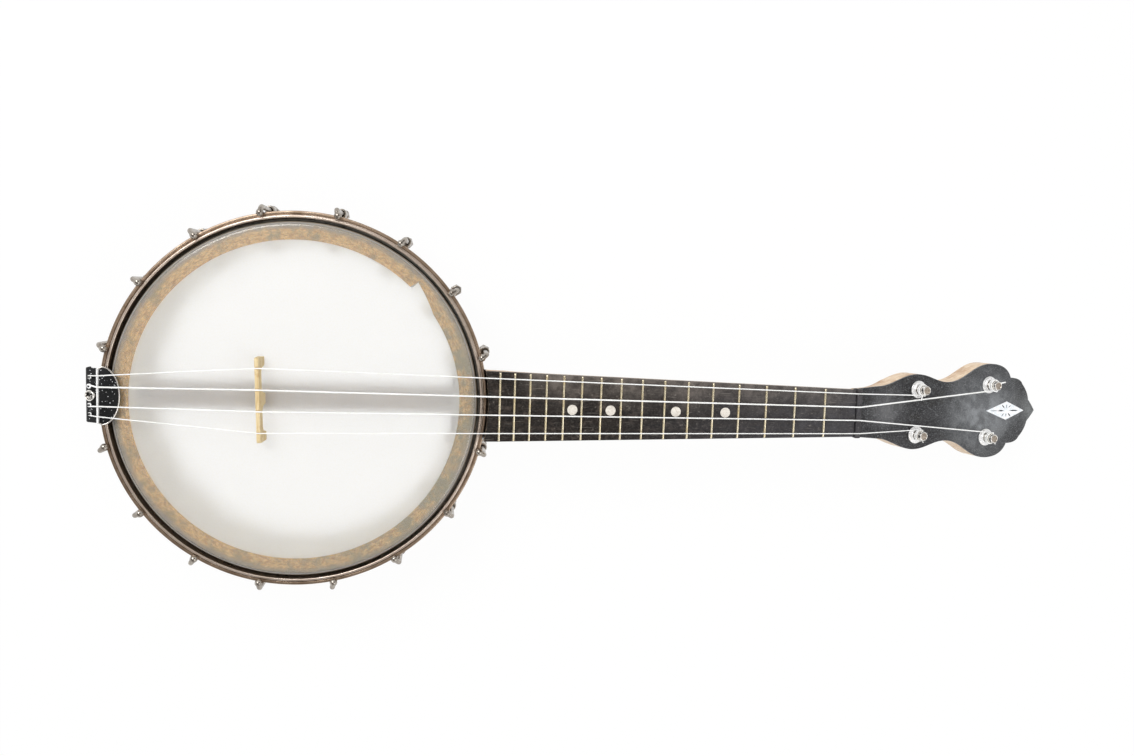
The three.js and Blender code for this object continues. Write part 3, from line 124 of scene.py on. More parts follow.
def softened(
    corners: np.ndarray, radius: float | list[float], steps: int, closed: bool = True
) -> np.ndarray:
    """Rounds each corner with a quadratic curve from a point before it to a point after it.

    Args:
        corners: (n, 2) corners of an outline.
        radius: the most that a rounding takes from each side of a corner, in mm.
        steps: runs in each rounding.
        closed: whether the last corner joins the first.

    Returns:
        (m, 2) points of the softened outline.
    """
    reach = np.broadcast_to(np.asarray(radius, float), (len(corners),))[:, None]
    first, last = (
        corners + unit(side) * np.minimum(reach, SIDE_SHARE * np.linalg.norm(side, axis=1, keepdims=True))
        for side in (np.roll(corners, 1, axis=0) - corners, np.roll(corners, -1, axis=0) - corners)
    )
    t = np.linspace(0, 1, steps + 1)[None, :, None]
    rounds = (1 - t) ** 2 * first[:, None] + 2 * t * (1 - t) * corners[:, None] + t**2 * last[:, None]
    if closed:
        return rounds.reshape(-1, 2)
    return np.concatenate([corners[:1], rounds[1:-1].reshape(-1, 2), corners[-1:]])


def ring_profile(corners: list[list[float]], radius: float | list[float], steps: int = 4) -> np.ndarray:
    """A closed profile with softened corners, its first point repeated at its end."""
    outline = softened(np.array(corners, float), radius, steps)
    return np.concatenate([outline, outline[:1]])


def oblong(half_x: float, half_y: float) -> np.ndarray:
    """The four corners of a rectangle about the origin, anticlockwise."""
    return np.array([[-1, -1], [1, -1], [1, 1], [-1, 1]]) * [half_x, half_y]


def ring(radius: float, corners: int) -> np.ndarray:
    """Evenly spaced points on a circle, anticlockwise."""
    turn = np.linspace(0, FULL_TURN, corners, endpoint=False)
    return radius * points(np.cos(turn), np.sin(turn))


def curve(*controls: tuple[float, float], steps: int) -> np.ndarray:
    """A Bezier curve from two to four control points, without its last point.

    Args:
        controls: the control points.
        steps: runs along the curve.

    Returns:
        (steps, 2) points: the sum of each control times its Bernstein weight.
    """
    t = np.linspace(0, 1, steps, endpoint=False)[:, None]
    n = len(controls) - 1
    weights = (math.comb(n, k) * (1 - t) ** (n - k) * t**k for k in range(n + 1))
    return sum(weight * np.array(control, float) for weight, control in zip(weights, controls))


def tube(path: np.ndarray, radius: float | np.ndarray, sides: int, up: tuple = (0, 0, 1)) -> np.ndarray:
    """Carries a circle along a path: point = path + radius (cos a side + sin a lift), closed at both ends.

    Args:
        path: (n, 3) points.
        radius: one radius, or one for each point.
        sides: steps round the circle.
        up: a direction that the path never runs along.

    Returns:
        (n + 2, sides + 1, 3) points.
    """
    heading = unit(np.gradient(path, axis=0))
    side = unit(np.cross(heading, np.asarray(up, float)))
    lift = np.cross(side, heading)
    turn = np.linspace(0, FULL_TURN, sides + 1)[None, :, None]
    reach = np.broadcast_to(np.asarray(radius, float), (len(path),))[:, None, None]
    around = path[:, None] + reach * (np.cos(turn) * side[:, None] + np.sin(turn) * lift[:, None])
    ends = (np.repeat(path[i, None, None], sides + 1, axis=1) for i in (0, -1))
    return np.concatenate([next(ends), around, next(ends)])


def inset(outline: np.ndarray, depth: float) -> np.ndarray:
    """Moves an anticlockwise outline inward, square to the mean of the runs beside each point."""
    heading = unit(np.roll(outline, -1, axis=0) - np.roll(outline, 1, axis=0))
    return outline - depth * points(heading[:, 1], -heading[:, 0])


def slab(outline: np.ndarray, bottom: float, top: float, edge: float, steps: int = 4) -> list[np.ndarray]:
    """A flat piece with rounded rims: the outline, drawn in by edge (1 - cos a) as z rises by edge sin a.

    Args:
        outline: (n, 2) anticlockwise outline in X and Y.
        bottom: lower level.
        top: upper level.
        edge: radius of the rounding.
        steps: runs in each rounding.

    Returns:
        Three grids: the wall with its roundings, and the two flat faces as single rings.
    """
    turn = np.linspace(0, QUARTER_TURN, steps + 1)
    face, drawn, rise = [edge * FACE_INSET], edge * (1 - np.sin(turn)), edge * (1 - np.cos(turn))
    depths = np.concatenate([face, drawn, rise, face])
    heights = np.concatenate([[bottom], bottom + rise, top - edge + edge * np.sin(turn), [top]])
    rings = np.stack([points(*inset(outline, depth).T, level) for depth, level in zip(depths, heights)])
    return [np.concatenate([rings, rings[:, :1]], axis=1), rings[:1], rings[-1:]]


# Meshes


@dataclass
class Piece:
    """One object of the scene: patches of surface, each with its finish, riding on one body.

    A patch is a (rows, columns, 3) grid, or a (1, n, 3) ring that is filled as one flat face. Edges that
    turn by more than sharp, in degrees, are shaded as creases.
    """

    name: str
    slot: str
    body: str = Body.INSTRUMENT.value
    sharp: float = 38.0
    patches: list[tuple[np.ndarray, int]] = field(default_factory=list)
    finishes: list[bpy.types.Material] = field(default_factory=list)

    def add(self, finish: bpy.types.Material, *grids: np.ndarray) -> Piece:
        """Adds patches in one finish and returns the piece."""
        if finish not in self.finishes:
            self.finishes.append(finish)
        self.patches += [(np.asarray(grid, float), self.finishes.index(finish)) for grid in grids]
        return self

    def place(self, matrix: Matrix) -> Piece:
        """Moves all the patches into another frame and returns the piece."""
        self.patches = [(moved(grid, matrix), finish) for grid, finish in self.patches]
        return self

    @staticmethod
    def quads(rows: int, columns: int) -> np.ndarray:
        """The corner numbers of a grid's faces, as a (faces, 4) array."""
        corner = np.arange(rows * columns).reshape(rows, columns)
        corners = [corner[:-1, :-1], corner[:-1, 1:], corner[1:, 1:], corner[1:, :-1]]
        return np.stack(corners, axis=-1).reshape(-1, 4)

    @staticmethod
    def unrolled(grid: np.ndarray) -> np.ndarray:
        """Surface coordinates in mm: the longest distance run along the columns, then along the rows."""
        along = np.linalg.norm(np.diff(grid, axis=1, prepend=grid[:, :1]), axis=-1)
        down = np.linalg.norm(np.diff(grid, axis=0, prepend=grid[:1]), axis=-1)
        u, v = np.cumsum(along.max(axis=0)), np.cumsum(down.max(axis=1))
        return points(u[None, :], v[:, None]).reshape(-1, 2)

    def finish(self, *replaced: str) -> bpy.types.Object:
        """Makes the mesh, turns its faces outward, and hands it to the frame.

        Args:
            replaced: the frame's nodes that this piece stands for.

        Returns:
            The new object.
        """
        places, faces, corners, finish_of = [], [], [], []
        count = 0
        for grid, finish in self.patches:
            rows, columns = grid.shape[:2]
            flat = self.quads(rows, columns) if rows > 1 else np.arange(columns)[None]
            places.append(grid.reshape(-1, 3))
            faces += (flat + count).tolist()
            corners.append(self.unrolled(grid)[flat.ravel()])
            finish_of += [finish] * len(flat)
            count += rows * columns
        mesh = bpy.data.meshes.new(self.name)
        mesh.from_pydata((np.concatenate(places) * MM + POT_CENTRE).tolist(), [], faces)
        mesh.uv_layers.new(name="surface").data.foreach_set("uv", np.concatenate(corners).ravel())
        mesh.polygons.foreach_set("material_index", np.array(finish_of, np.int32))
        whole = bmesh.new()
        whole.from_mesh(mesh)
        bmesh.ops.remove_doubles(whole, verts=whole.verts, dist=MERGE)
        bmesh.ops.recalc_face_normals(whole, faces=whole.faces)
        whole.to_mesh(mesh)
        whole.free()
        mesh.polygons.foreach_set("use_smooth", np.ones(len(mesh.polygons), bool))
        mesh.set_sharp_from_angle(angle=math.radians(self.sharp))
        for material in self.finishes:
            mesh.materials.append(material)
        made = bpy.data.objects.new(self.name, mesh)
        bpy.context.scene.collection.objects.link(made)
        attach(made, self.body)
        if replaced:
            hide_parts(*replaced)
        stands_for = replaced or "no node"
        log.info("%s: %d faces on %s, for %s", self.name, len(mesh.polygons), self.body, stands_for)
        return made


# Finishes

# The inputs of a Mix node: its share, then the two numbers or the two colours that it lies between
SHARE, NUMBER_A, NUMBER_B, COLOUR_A, COLOUR_B = 0, 2, 3, 6, 7


def linear(code: str) -> tuple[float, float, float, float]:
    """An sRGB hex colour as linear light, with full alpha."""
    shares = [int(code[i : i + 2], 16) / 255 for i in (1, 3, 5)]
    bent = [c / 12.92 if c <= 0.04045 else ((c + 0.055) / 1.055) ** 2.4 for c in shares]
    return (*bent, 1.0)


def scales(*sizes: float, unit_size: float = MM) -> tuple[float, ...]:
    """A Mapping node's scales for marks of one size in mm, or of one size along each axis."""
    return tuple(1 / (size * unit_size) for size in (sizes if len(sizes) > 1 else sizes * 3))


def add(
    tree: bpy.types.NodeTree, kind: str, inputs: dict | None = None, stops: tuple = (), **settings
) -> bpy.types.Node:
    """Adds one node.

    Args:
        tree: the material's or world's nodes.
        kind: the node's type, without the word ShaderNode.
        inputs: for each input, a value, a socket to link, or a node to link by its first output in use.
        stops: a colour ramp's stops, each a place and an sRGB hex colour.
        settings: the node's own properties.

    Returns:
        The node.
    """
    node = tree.nodes.new("ShaderNode" + kind)
    for key, value in settings.items():
        setattr(node, key, value)
    for key, value in (inputs or {}).items():
        if isinstance(value, bpy.types.Node):
            value = next(socket for socket in value.outputs if socket.enabled)
        if isinstance(value, bpy.types.NodeSocket):
            tree.links.new(value, node.inputs[key])
        else:
            node.inputs[key].default_value = value
    if stops:
        ramp = node.color_ramp
        while len(ramp.elements) < len(stops):
            ramp.elements.new(0.5)
        for element, (at, code) in zip(ramp.elements, stops):
            element.position, element.color = at, linear(code)
    return node


def blank(name: str) -> tuple[bpy.types.Material, bpy.types.NodeTree]:
    """A new material with an empty node tree."""
    material = bpy.data.materials.new(name)
    material.use_nodes = True
    material.node_tree.nodes.clear()
    return material, material.node_tree


@dataclass(frozen=True)
class Finish:
    """What all finishes share: a name, and a material with one shader."""

    name: str

    def shading(self, tree: bpy.types.NodeTree) -> dict:
        """Adds the finish's patterns and returns the shader's inputs."""
        raise NotImplementedError

    def material(self) -> bpy.types.Material:
        """Builds the material's nodes."""
        material, tree = blank(self.name)
        shader = add(tree, "BsdfPrincipled", self.shading(tree))
        add(tree, "OutputMaterial", {"Surface": shader})
        return material


@dataclass(frozen=True)
class Fade:
    """A cloudy veil of painted shade or sheen along one axis, from none at the start to full at the end."""

    start: float
    end: float
    colour: str
    axis: str
    strength: float = 1.8


@dataclass(frozen=True)
class Mist:
    """A cloudy veil of painted shadow or sheen in one colour, thickest over a point and gone at its radius.
    """

    x: float
    y: float
    radius: float
    colour: str


@dataclass(frozen=True)
class Wood(Finish):
    """Sawn or bent timber: long streaks of darker grain, fine pores, and blotches of stain or wear.

    Light catches it as a soft sheen, a little sharper where it is varnished. Its pores are drawn coarser
    than real ones, which would be too fine to show. Fades and mists, where a finish has them, are painted
    shade, shadow and sheen, placed in the pattern's own units.
    """

    light: str
    dark: str
    blotch: str
    streak_mm: tuple[float, float] = (40.0, 1.6)
    figure: tuple[float, float] = (0.3, 0.62)
    crosswise: bool = False
    blotch_mm: float = 22.0
    blotch_from: float = 0.55
    blotch_spread: float = 0.16
    roughness: float = 0.45
    gloss: float = 0.5
    coat: float = 0.15
    pore_mm: tuple[float, float] = (2.9, 0.45)
    scratch: str = ""
    speckle: float = 0.0
    fade: Fade | None = None
    mists: tuple[Mist, ...] = ()
    mist_least: float = 0.45
    space: Space = Space.FRAME

    def shading(self, tree: bpy.types.NodeTree) -> dict:
        """Adds grain, blotches, wear and pores, and returns the shader's inputs."""
        place = add(tree, "TexCoord").outputs[self.space.value]
        mm = 1.0 if self.space is Space.SURFACE else MM
        run, across = self.streak_mm
        sizes = (across, run, across) if self.crosswise else (run, across, across)
        grain_at = add(tree, "Mapping", {"Vector": place, "Scale": scales(*sizes, unit_size=mm)})
        grain = add(tree, "TexNoise", {"Vector": grain_at, "Scale": 1.0, "Detail": 5.0, "Distortion": 0.7})
        result = add(tree, "ValToRGB", {"Fac": grain}, tuple(zip(self.figure, (self.dark, self.light))))
        # The blotches are moved off the grain's own origin, so that the two patterns don't follow each other
        spread = {"Scale": scales(self.blotch_mm, unit_size=mm), "Location": (3.1, 1.7, 0.4)}
        blotch_at = add(tree, "Mapping", {"Vector": place} | spread)
        blotch = add(tree, "TexNoise", {"Vector": blotch_at, "Scale": 1.0, "Detail": 4.0, "Roughness": 0.62})
        full = self.blotch_from + self.blotch_spread
        share = add(tree, "MapRange", {"Value": blotch, "From Min": self.blotch_from, "From Max": full})
        stain = {SHARE: share, COLOUR_A: result, COLOUR_B: linear(self.blotch)}
        result = add(tree, "Mix", stain, data_type="RGBA")
        if self.fade:
            along = add(tree, "SeparateXYZ", {0: place}).outputs[self.fade.axis]
            ends = {"From Min": self.fade.start, "From Max": self.fade.end}
            fading = add(tree, "MapRange", {"Value": along} | ends)
            cloudy = add(tree, "Math", {0: fading, 1: blotch}, operation="MULTIPLY")
            strong = {0: cloudy, 1: self.fade.strength}
            veil = add(tree, "Math", strong, operation="MULTIPLY", use_clamp=True)
            faded = {SHARE: veil, COLOUR_A: result, COLOUR_B: linear(self.fade.colour)}
            result = add(tree, "Mix", faded, data_type="RGBA")
        for mist in self.mists:
            result = self.misted(tree, place, blotch, result, mist)
        pore_run, pore_across = self.pore_mm
        pore_scale = scales(pore_run, pore_across, pore_across, unit_size=mm)
        pore_at = add(tree, "Mapping", {"Vector": place, "Scale": pore_scale})
        pores = add(tree, "TexNoise", {"Vector": pore_at, "Scale": 1.0, "Detail": 3.0, "Roughness": 0.7})
        if self.scratch:
            specks = {"Value": pores, "From Min": 0.5, "From Max": 0.72, "To Max": self.speckle}
            chafed = {SHARE: add(tree, "MapRange", specks), COLOUR_A: result, COLOUR_B: linear(self.scratch)}
            result = add(tree, "Mix", chafed, data_type="RGBA")
            result = self.scratched(tree, place, mm, result)
        rough = {"Value": pores, "To Min": self.roughness - 0.1, "To Max": self.roughness + 0.12}
        return {
            "Base Color": result,
            "Roughness": add(tree, "MapRange", rough),
            "Normal": add(tree, "Bump", {"Height": pores, "Strength": 0.35, "Distance": 0.12 * MM}),
            "IOR": 1.5,
            "Coat Weight": self.coat,
            "Coat Roughness": 0.25,
            "Specular IOR Level": self.gloss,
        }

    def misted(
        self,
        tree: bpy.types.NodeTree,
        place: bpy.types.NodeSocket,
        cloud: bpy.types.Node,
        under: bpy.types.Node,
        mist: Mist,
    ) -> bpy.types.Node:
        """Lays one mist over a colour: its share is a smooth fall with distance, times the cloud.

        Args:
            tree: the material's nodes.
            place: the pattern's coordinates.
            cloud: the noise that breaks the mist up.
            under: the colour below the mist.
            mist: the veil.

        Returns:
            The colour with the mist.
        """
        flat = {"Vector": place, "Location": (-mist.x, -mist.y, 0.0), "Scale": (1.0, 1.0, 0.0)}
        away = add(tree, "VectorMath", {0: add(tree, "Mapping", flat)}, operation="LENGTH")
        fall = {"Value": away, "From Min": mist.radius, "From Max": 0.0}
        near = add(tree, "MapRange", fall, interpolation_type="SMOOTHSTEP")
        thick = {"Value": cloud, "From Min": 0.4, "From Max": 0.58, "To Min": self.mist_least, "To Max": 1.0}
        veil = add(tree, "Math", {0: near, 1: add(tree, "MapRange", thick)}, operation="MULTIPLY")
        tones = {SHARE: veil, COLOUR_A: under, COLOUR_B: linear(mist.colour)}
        return add(tree, "Mix", tones, data_type="RGBA")

    def scratched(
        self, tree: bpy.types.NodeTree, place: bpy.types.NodeSocket, mm: float, under: bpy.types.Node
    ) -> bpy.types.Node:
        """Rubs thin pale scratches and small scuffs over a colour.

        Args:
            tree: the material's nodes.
            place: the pattern's coordinates.
            mm: one millimetre in those coordinates.
            under: the colour below the scratches.

        Returns:
            The colour with scratches.
        """
        slanted = {"Scale": scales(14, 0.45, 0.45, unit_size=mm), "Rotation": (0.0, 0.0, 0.35)}
        mark_at = add(tree, "Mapping", {"Vector": place} | slanted)
        marks = add(tree, "TexNoise", {"Vector": mark_at, "Scale": 1.0, "Detail": 2.0, "Distortion": 0.4})
        thin = add(tree, "MapRange", {"Value": marks, "From Min": 0.66, "From Max": 0.74})
        scuff_at = add(tree, "Mapping", {"Vector": place, "Scale": scales(2.4, unit_size=mm)})
        scuffs = add(tree, "TexNoise", {"Vector": scuff_at, "Scale": 1.0, "Detail": 6.0, "Roughness": 0.7})
        patch = add(tree, "MapRange", {"Value": scuffs, "From Min": 0.6, "From Max": 0.72})
        both = add(tree, "Math", {0: thin, 1: patch}, operation="MAXIMUM")
        half = add(tree, "Math", {0: both, 1: 0.4}, operation="MULTIPLY")
        tones = {SHARE: half, COLOUR_A: under, COLOUR_B: linear(self.scratch)}
        return add(tree, "Mix", tones, data_type="RGBA")


@dataclass(frozen=True)
class Metal(Finish):
    """Plated or bare metal: bright where handled, with fine specks, and clouds of tarnish or, in the screw's
    well, painted shade.
    """

    bright: str
    tarnish: str
    roughness: float = 0.24
    tarnish_from: float = 0.5
    tarnish_spread: float = 0.3
    cloud_mm: float = 3.0
    speck_mm: float = 0.5
    metallic: float = 1.0

    def shading(self, tree: bpy.types.NodeTree) -> dict:
        """Adds the clouds of tarnish or painted shade, and the specks, and returns the shader's inputs."""
        place = add(tree, "TexCoord").outputs[Space.FRAME.value]
        wide = add(tree, "Mapping", {"Vector": place, "Scale": scales(self.cloud_mm)})
        cloud = add(tree, "TexNoise", {"Vector": wide, "Scale": 1.0, "Detail": 5.0, "Roughness": 0.65})
        full = self.tarnish_from + self.tarnish_spread
        dull = add(tree, "MapRange", {"Value": cloud, "From Min": self.tarnish_from, "From Max": full})
        fine = add(tree, "Mapping", {"Vector": place, "Scale": scales(self.speck_mm)})
        specks = add(tree, "TexNoise", {"Vector": fine, "Scale": 1.0, "Detail": 2.0})
        tones = {SHARE: dull, COLOUR_A: linear(self.bright), COLOUR_B: linear(self.tarnish)}
        rough = {"Value": dull, "To Min": self.roughness, "To Max": self.roughness + 0.2}
        return {
            "Base Color": add(tree, "Mix", tones, data_type="RGBA"),
            "Roughness": add(tree, "MapRange", rough),
            "Metallic": self.metallic,
            "Normal": add(tree, "Bump", {"Height": specks, "Strength": 0.08, "Distance": 0.03 * MM}),
        }


@dataclass(frozen=True)
class Film(Finish):
    """Clear polyester film with a sprayed white frosting: things that touch it show, things behind it blur.

    Pressed on the rim's wood the frosting is clear, and outside it, on the collar, it is greyed by painted
    shade.
    """

    wood_from: float
    wood_to: float
    lap_degrees: tuple[float, float]
    lap_step: float
    tint: str = "#FFFFFF"
    grain: str = "#FBFAF5"
    collar_painted_shade: str = "#A0937E"
    roughness: float = 0.58
    roughness_change: float = 0.12
    pressed_roughness: float = 0.07
    clear: tuple[float, float] = (0.5, 0.96)
    pressed_clear: tuple[float, float] = (0.85, 0.98)
    collar_clear: float = 0.25
    grit_mm: float = 0.8
    wood_edge: float = 0.2
    collar_edge: float = 1.4

    def shading(self, tree: bpy.types.NodeTree) -> dict:
        """Adds the frosting, cleared over the wood and greyed by painted shade on the collar, for the
        shader's inputs.
        """
        place = add(tree, "TexCoord").outputs[Space.FRAME.value]
        flat = {"Vector": place, "Location": (-POT_CENTRE[0], 0.0, 0.0), "Scale": (1.0, 1.0, 0.0)}
        level = add(tree, "Mapping", flat)
        out = add(tree, "VectorMath", {0: level}, operation="LENGTH")
        sides = add(tree, "SeparateXYZ", {0: level}).outputs
        turn = add(tree, "Math", {0: sides["Y"], 1: sides["X"]}, operation="ARCTAN2")
        # The wood's inner edge grows outward with the turn, and steps back in at the lap
        start, end = (math.radians(angle) for angle in self.lap_degrees)
        notch = {"Value": turn, "From Min": start, "From Max": end, "To Max": self.lap_step * MM}
        before = add(tree, "Math", {0: turn, 1: end}, operation="LESS_THAN")
        step = add(tree, "Math", {0: add(tree, "MapRange", notch), 1: before}, operation="MULTIPLY")
        past = add(tree, "Math", {0: out, 1: step}, operation="SUBTRACT")
        inner, outer, soft = self.wood_from * MM, self.wood_to * MM, self.wood_edge * MM
        on_wood = add(tree, "MapRange", {"Value": past, "From Min": inner - soft, "From Max": inner + soft})
        greyed = {"Value": out, "From Min": outer, "From Max": outer + self.collar_edge * MM}
        collar = add(tree, "MapRange", greyed)
        pressed = add(tree, "Math", {0: on_wood, 1: collar}, operation="SUBTRACT", use_clamp=True)
        fine = add(tree, "Mapping", {"Vector": place, "Scale": scales(self.grit_mm)})
        grit = add(tree, "TexNoise", {"Vector": fine, "Scale": 1.0, "Detail": 3.0, "Roughness": 0.7})
        least, most = self.roughness - self.roughness_change, self.roughness + self.roughness_change
        frost = add(tree, "MapRange", {"Value": grit, "To Min": least, "To Max": most})
        blur = {SHARE: pressed, NUMBER_A: frost, NUMBER_B: self.pressed_roughness}
        haze = {"Value": grit, "From Min": 0.3, "From Max": 0.7}
        clear, wet = (
            add(tree, "MapRange", haze | {"To Min": low, "To Max": high})
            for low, high in (self.clear, self.pressed_clear)
        )
        seen = add(tree, "Mix", {SHARE: pressed, NUMBER_A: clear, NUMBER_B: wet}, data_type="FLOAT")
        dulled = {SHARE: collar, NUMBER_A: seen, NUMBER_B: self.collar_clear}
        tone = add(tree, "ValToRGB", {"Fac": grit}, ((0.3, self.grain), (0.6, self.tint)))
        # On the collar the colour turns to painted grey shade
        tones = {SHARE: collar, COLOUR_A: tone, COLOUR_B: linear(self.collar_painted_shade)}
        return {
            "Base Color": add(tree, "Mix", tones, data_type="RGBA"),
            "Roughness": add(tree, "Mix", blur, data_type="FLOAT"),
            "Normal": add(tree, "Bump", {"Height": grit, "Strength": 0.2, "Distance": 0.05 * MM}),
            "IOR": 1.2,
            "Transmission Weight": add(tree, "Mix", dulled, data_type="FLOAT"),
            "Coat Weight": 0.9,
            "Coat Roughness": 0.2,
        }


@dataclass(frozen=True)
class Japanned(Finish):
    """Sheet steel stoved in black japan: a dull dark gloss, with bright pinholes where it has chipped."""

    black: str
    worn: str
    chip: str
    chip_mm: float = 1.5

    def shading(self, tree: bpy.types.NodeTree) -> dict:
        """Adds the worn lacquer and its round chips, and returns the shader's inputs."""
        place = add(tree, "TexCoord").outputs[Space.FRAME.value]
        wide = add(tree, "Mapping", {"Vector": place, "Scale": scales(self.chip_mm)})
        spots = add(tree, "TexNoise", {"Vector": wide, "Scale": 2.0, "Detail": 4.0, "Roughness": 0.7})
        cells = add(tree, "TexVoronoi", {"Vector": wide, "Scale": 1.0})
        bare = add(tree, "MapRange", {"Value": cells, "From Min": 0.19, "From Max": 0.11})
        lacquer = add(tree, "ValToRGB", {"Fac": spots}, ((0.35, self.black), (0.7, self.worn)))
        tones = {SHARE: bare, COLOUR_A: lacquer, COLOUR_B: linear(self.chip)}
        return {
            "Base Color": add(tree, "Mix", tones, data_type="RGBA"),
            "Roughness": 0.5,
            "Normal": add(tree, "Bump", {"Height": spots, "Strength": 0.3, "Distance": 0.06 * MM}),
            "Specular IOR Level": 0.25,
        }


@dataclass(frozen=True)
class Moulded(Finish):
    """Smooth dense material, such as drawn nylon, cast plastic or polished shell, with faint clouds."""

    shade: str
    light: str
    roughness: float = 0.3
    cloud_mm: float = 4.0
    coat: float = 0.0
    stops: tuple[tuple[float, str], ...] = ()

    def shading(self, tree: bpy.types.NodeTree) -> dict:
        """Adds the clouds, and returns the shader's inputs."""
        place = add(tree, "TexCoord").outputs[Space.FRAME.value]
        wide = add(tree, "Mapping", {"Vector": place, "Scale": scales(self.cloud_mm)})
        cloud = add(tree, "TexNoise", {"Vector": wide, "Scale": 1.0, "Detail": 3.0, "Distortion": 1.2})
        stops = self.stops or ((0.32, self.shade), (0.62, self.light))
        tone = add(tree, "ValToRGB", {"Fac": cloud}, stops)
        return {"Base Color": tone, "Roughness": self.roughness, "Coat Weight": self.coat, "IOR": 1.5}


class Finishes:
    """All the finishes of the instrument, each made once and named for the real material and any painted
    light.
    """

    def __init__(self) -> None:
        """Makes every material."""
        # Steamed maple in the open: short gold streaks, greyed along the rim's edge by painted shade under
        # the film's bend, and beside the neck by a painted shadow of the heel
        self.rim_maple = Wood(
            "bent_maple_rim", light="#F8CE84", dark="#CF9C57", blotch="#B49B66", streak_mm=(2.8, 1.2),
            figure=(0.38, 0.6), blotch_mm=8.0, blotch_from=0.5, blotch_spread=0.17, roughness=0.5, gloss=0.4,
            coat=0.05, pore_mm=(1.0, 0.8), scratch="#8F8259", speckle=0.75,
            fade=Fade(4.9, 2.9, "#A6967D", "Y"), mist_least=0.15, space=Space.SURFACE,
            mists=(Mist(585.0, 5.0, 170.0, "#A39873"), Mist(20.0, 5.0, 70.0, "#A39873"))).material()
        # The same maple under varnish, outside the rim: longer, deeper streaks with a clear gloss
        self.rim_varnish = Wood(
            "varnished_maple_rim", light="#D9AE74", dark="#B98A52", blotch="#A97B48", streak_mm=(46.0, 2.0),
            blotch_mm=30.0, roughness=0.35, coat=0.3, space=Space.SURFACE).material()
        # Bare maple inside the rim: pale and dry, with hardly any figure
        self.rim_inside = Wood(
            "bare_maple_inside_rim", light="#F5EEDA", dark="#E9DEC3", blotch="#D3C5A3",
            streak_mm=(46.0, 2.0), blotch_mm=15.0, roughness=0.6, gloss=0.4, coat=0.0,
            space=Space.SURFACE).material()
        # Varnished neck: pinkish brown streaks that run the neck's whole length
        self.neck_wood = Wood(
            "varnished_neck_wood", light="#E8D2B6", dark="#CBA884", blotch="#B8926E",
            streak_mm=(70.0, 2.0)).material()
        # Oiled dowel: dark brown, so that it reads as a shadowy band through the film
        self.dowel_wood = Wood(
            "oiled_dowel_wood", light="#7C5820", dark="#5C3F14", blotch="#4C3410",
            streak_mm=(55.0, 2.4), coat=0.0).material()
        # Dyed fretboard: near black, greyed by painted sheen along one side and towards the nut
        self.fingerboard = Wood(
            "dyed_fingerboard", light="#241C17", dark="#0D0A09", blotch="#473E38", streak_mm=(16.0, 0.8),
            figure=(0.36, 0.62), blotch_mm=6.0, roughness=0.5, gloss=0.22, coat=0.0, pore_mm=(0.9, 0.5),
            scratch="#A39C93", speckle=0.16, fade=Fade(0.0, 0.155, "#403F43", "X"),
            mists=tuple(Mist(0.04 * k - 0.03, 0.03, 0.036, "#7F766F") for k in range(5))).material()
        # Dyed veneer: blue black under thin varnish, with clouds of painted grey sheen near the nut, between
        # the pegs and at the crown
        self.veneer = Wood(
            "dyed_headstock_veneer", light="#2C2C2F", dark="#121114", blotch="#181512",
            streak_mm=(20.0, 6.0), figure=(0.36, 0.7), blotch_mm=9.0, blotch_from=0.5, roughness=0.34,
            gloss=0.42, coat=0.2, pore_mm=(0.8, 0.6), scratch="#B4B7BA", speckle=0.32,
            mists=(Mist(0.25, 0.0, 0.042, "#878A8D"), Mist(0.294, 0.0, 0.02, "#7C7F7F"),
                   Mist(0.176, 0.002, 0.02, "#606062"))).material()
        # Bare maple bridge: pale and matt, with short brown grain across the strings
        self.bridge_maple = Wood(
            "bare_bridge_maple", light="#E6D3A8", dark="#CBAB73", blotch="#BF9862", streak_mm=(18.0, 0.8),
            crosswise=True, blotch_mm=8.0, blotch_from=0.56, roughness=0.6, gloss=0.4, coat=0.0).material()
        # Nickel plate on the hoop: a painted highlight on its crest, and brown tarnish with painted shade on
        # its flank and in its groove
        self.hoop_crest, self.hoop_flank_tarnish_and_shade = (
            Metal(name, bright, tarnish, tarnish_from=0.36, tarnish_spread=0.4, cloud_mm=9.0).material()
            for name, bright, tarnish in (
                ("nickel_crest_painted_highlight", "#EADCCF", "#B7A595"), ("aged_nickel_hoop_painted_shade", "#BBA692", "#77624F"))
        )
        # Handled nickel on hooks and shoes: a clear mirror with grey brown clouds
        self.hook_nickel = Metal("worn_nickel_hook", "#B4ADA4", "#6E645A", 0.2, tarnish_from=0.42).material()
        # Fresh nickel: sharp white reflections, hardly dulled
        self.bright_nickel = Metal("bright_nickel", "#F7F4EF", "#D8D1C7", 0.12).material()
        # Brushed nickel with a share of matt white, a painted reflection of the sky as an even white: the
        # bushings and the tailpiece's ridge
        self.bushing = Metal("nickel_bushing_painted_reflection", "#FFFFFF", "#EFEAE2", 0.34, metallic=0.7).material()
        self.ridge_nickel = Metal(
            "nickel_ridge_painted_reflection", "#FFFFFF", "#FBF9F5", 0.34, metallic=0.3).material()
        # The posts' cut ends: dull, with fine mottling
        self.post_end = Metal(
            "brushed_post_end", "#C3B8AB", "#94897D", 0.42, tarnish_from=0.4, cloud_mm=1.2).material()
        # The screw's hollow: bright metal with hard-edged black patches of painted shade, given as its
        # tarnish
        self.screw_well = Metal(
            "screw_well_painted_shade", "#F4F1EC", "#171513", 0.3, 0.44, 0.08, cloud_mm=1.5).material()
        # Drawn fret wire: a warm, clean glint along each crown
        self.fret_wire = Metal("fret_wire", "#FBF0D2", "#E5CF9C", tarnish_from=0.45, cloud_mm=4.0).material()
        # Bare aluminium: grey and soft, without a mirror
        self.aluminium = Metal("dull_aluminium", "#8F8E8A", "#55524D", 0.4, cloud_mm=6.0).material()
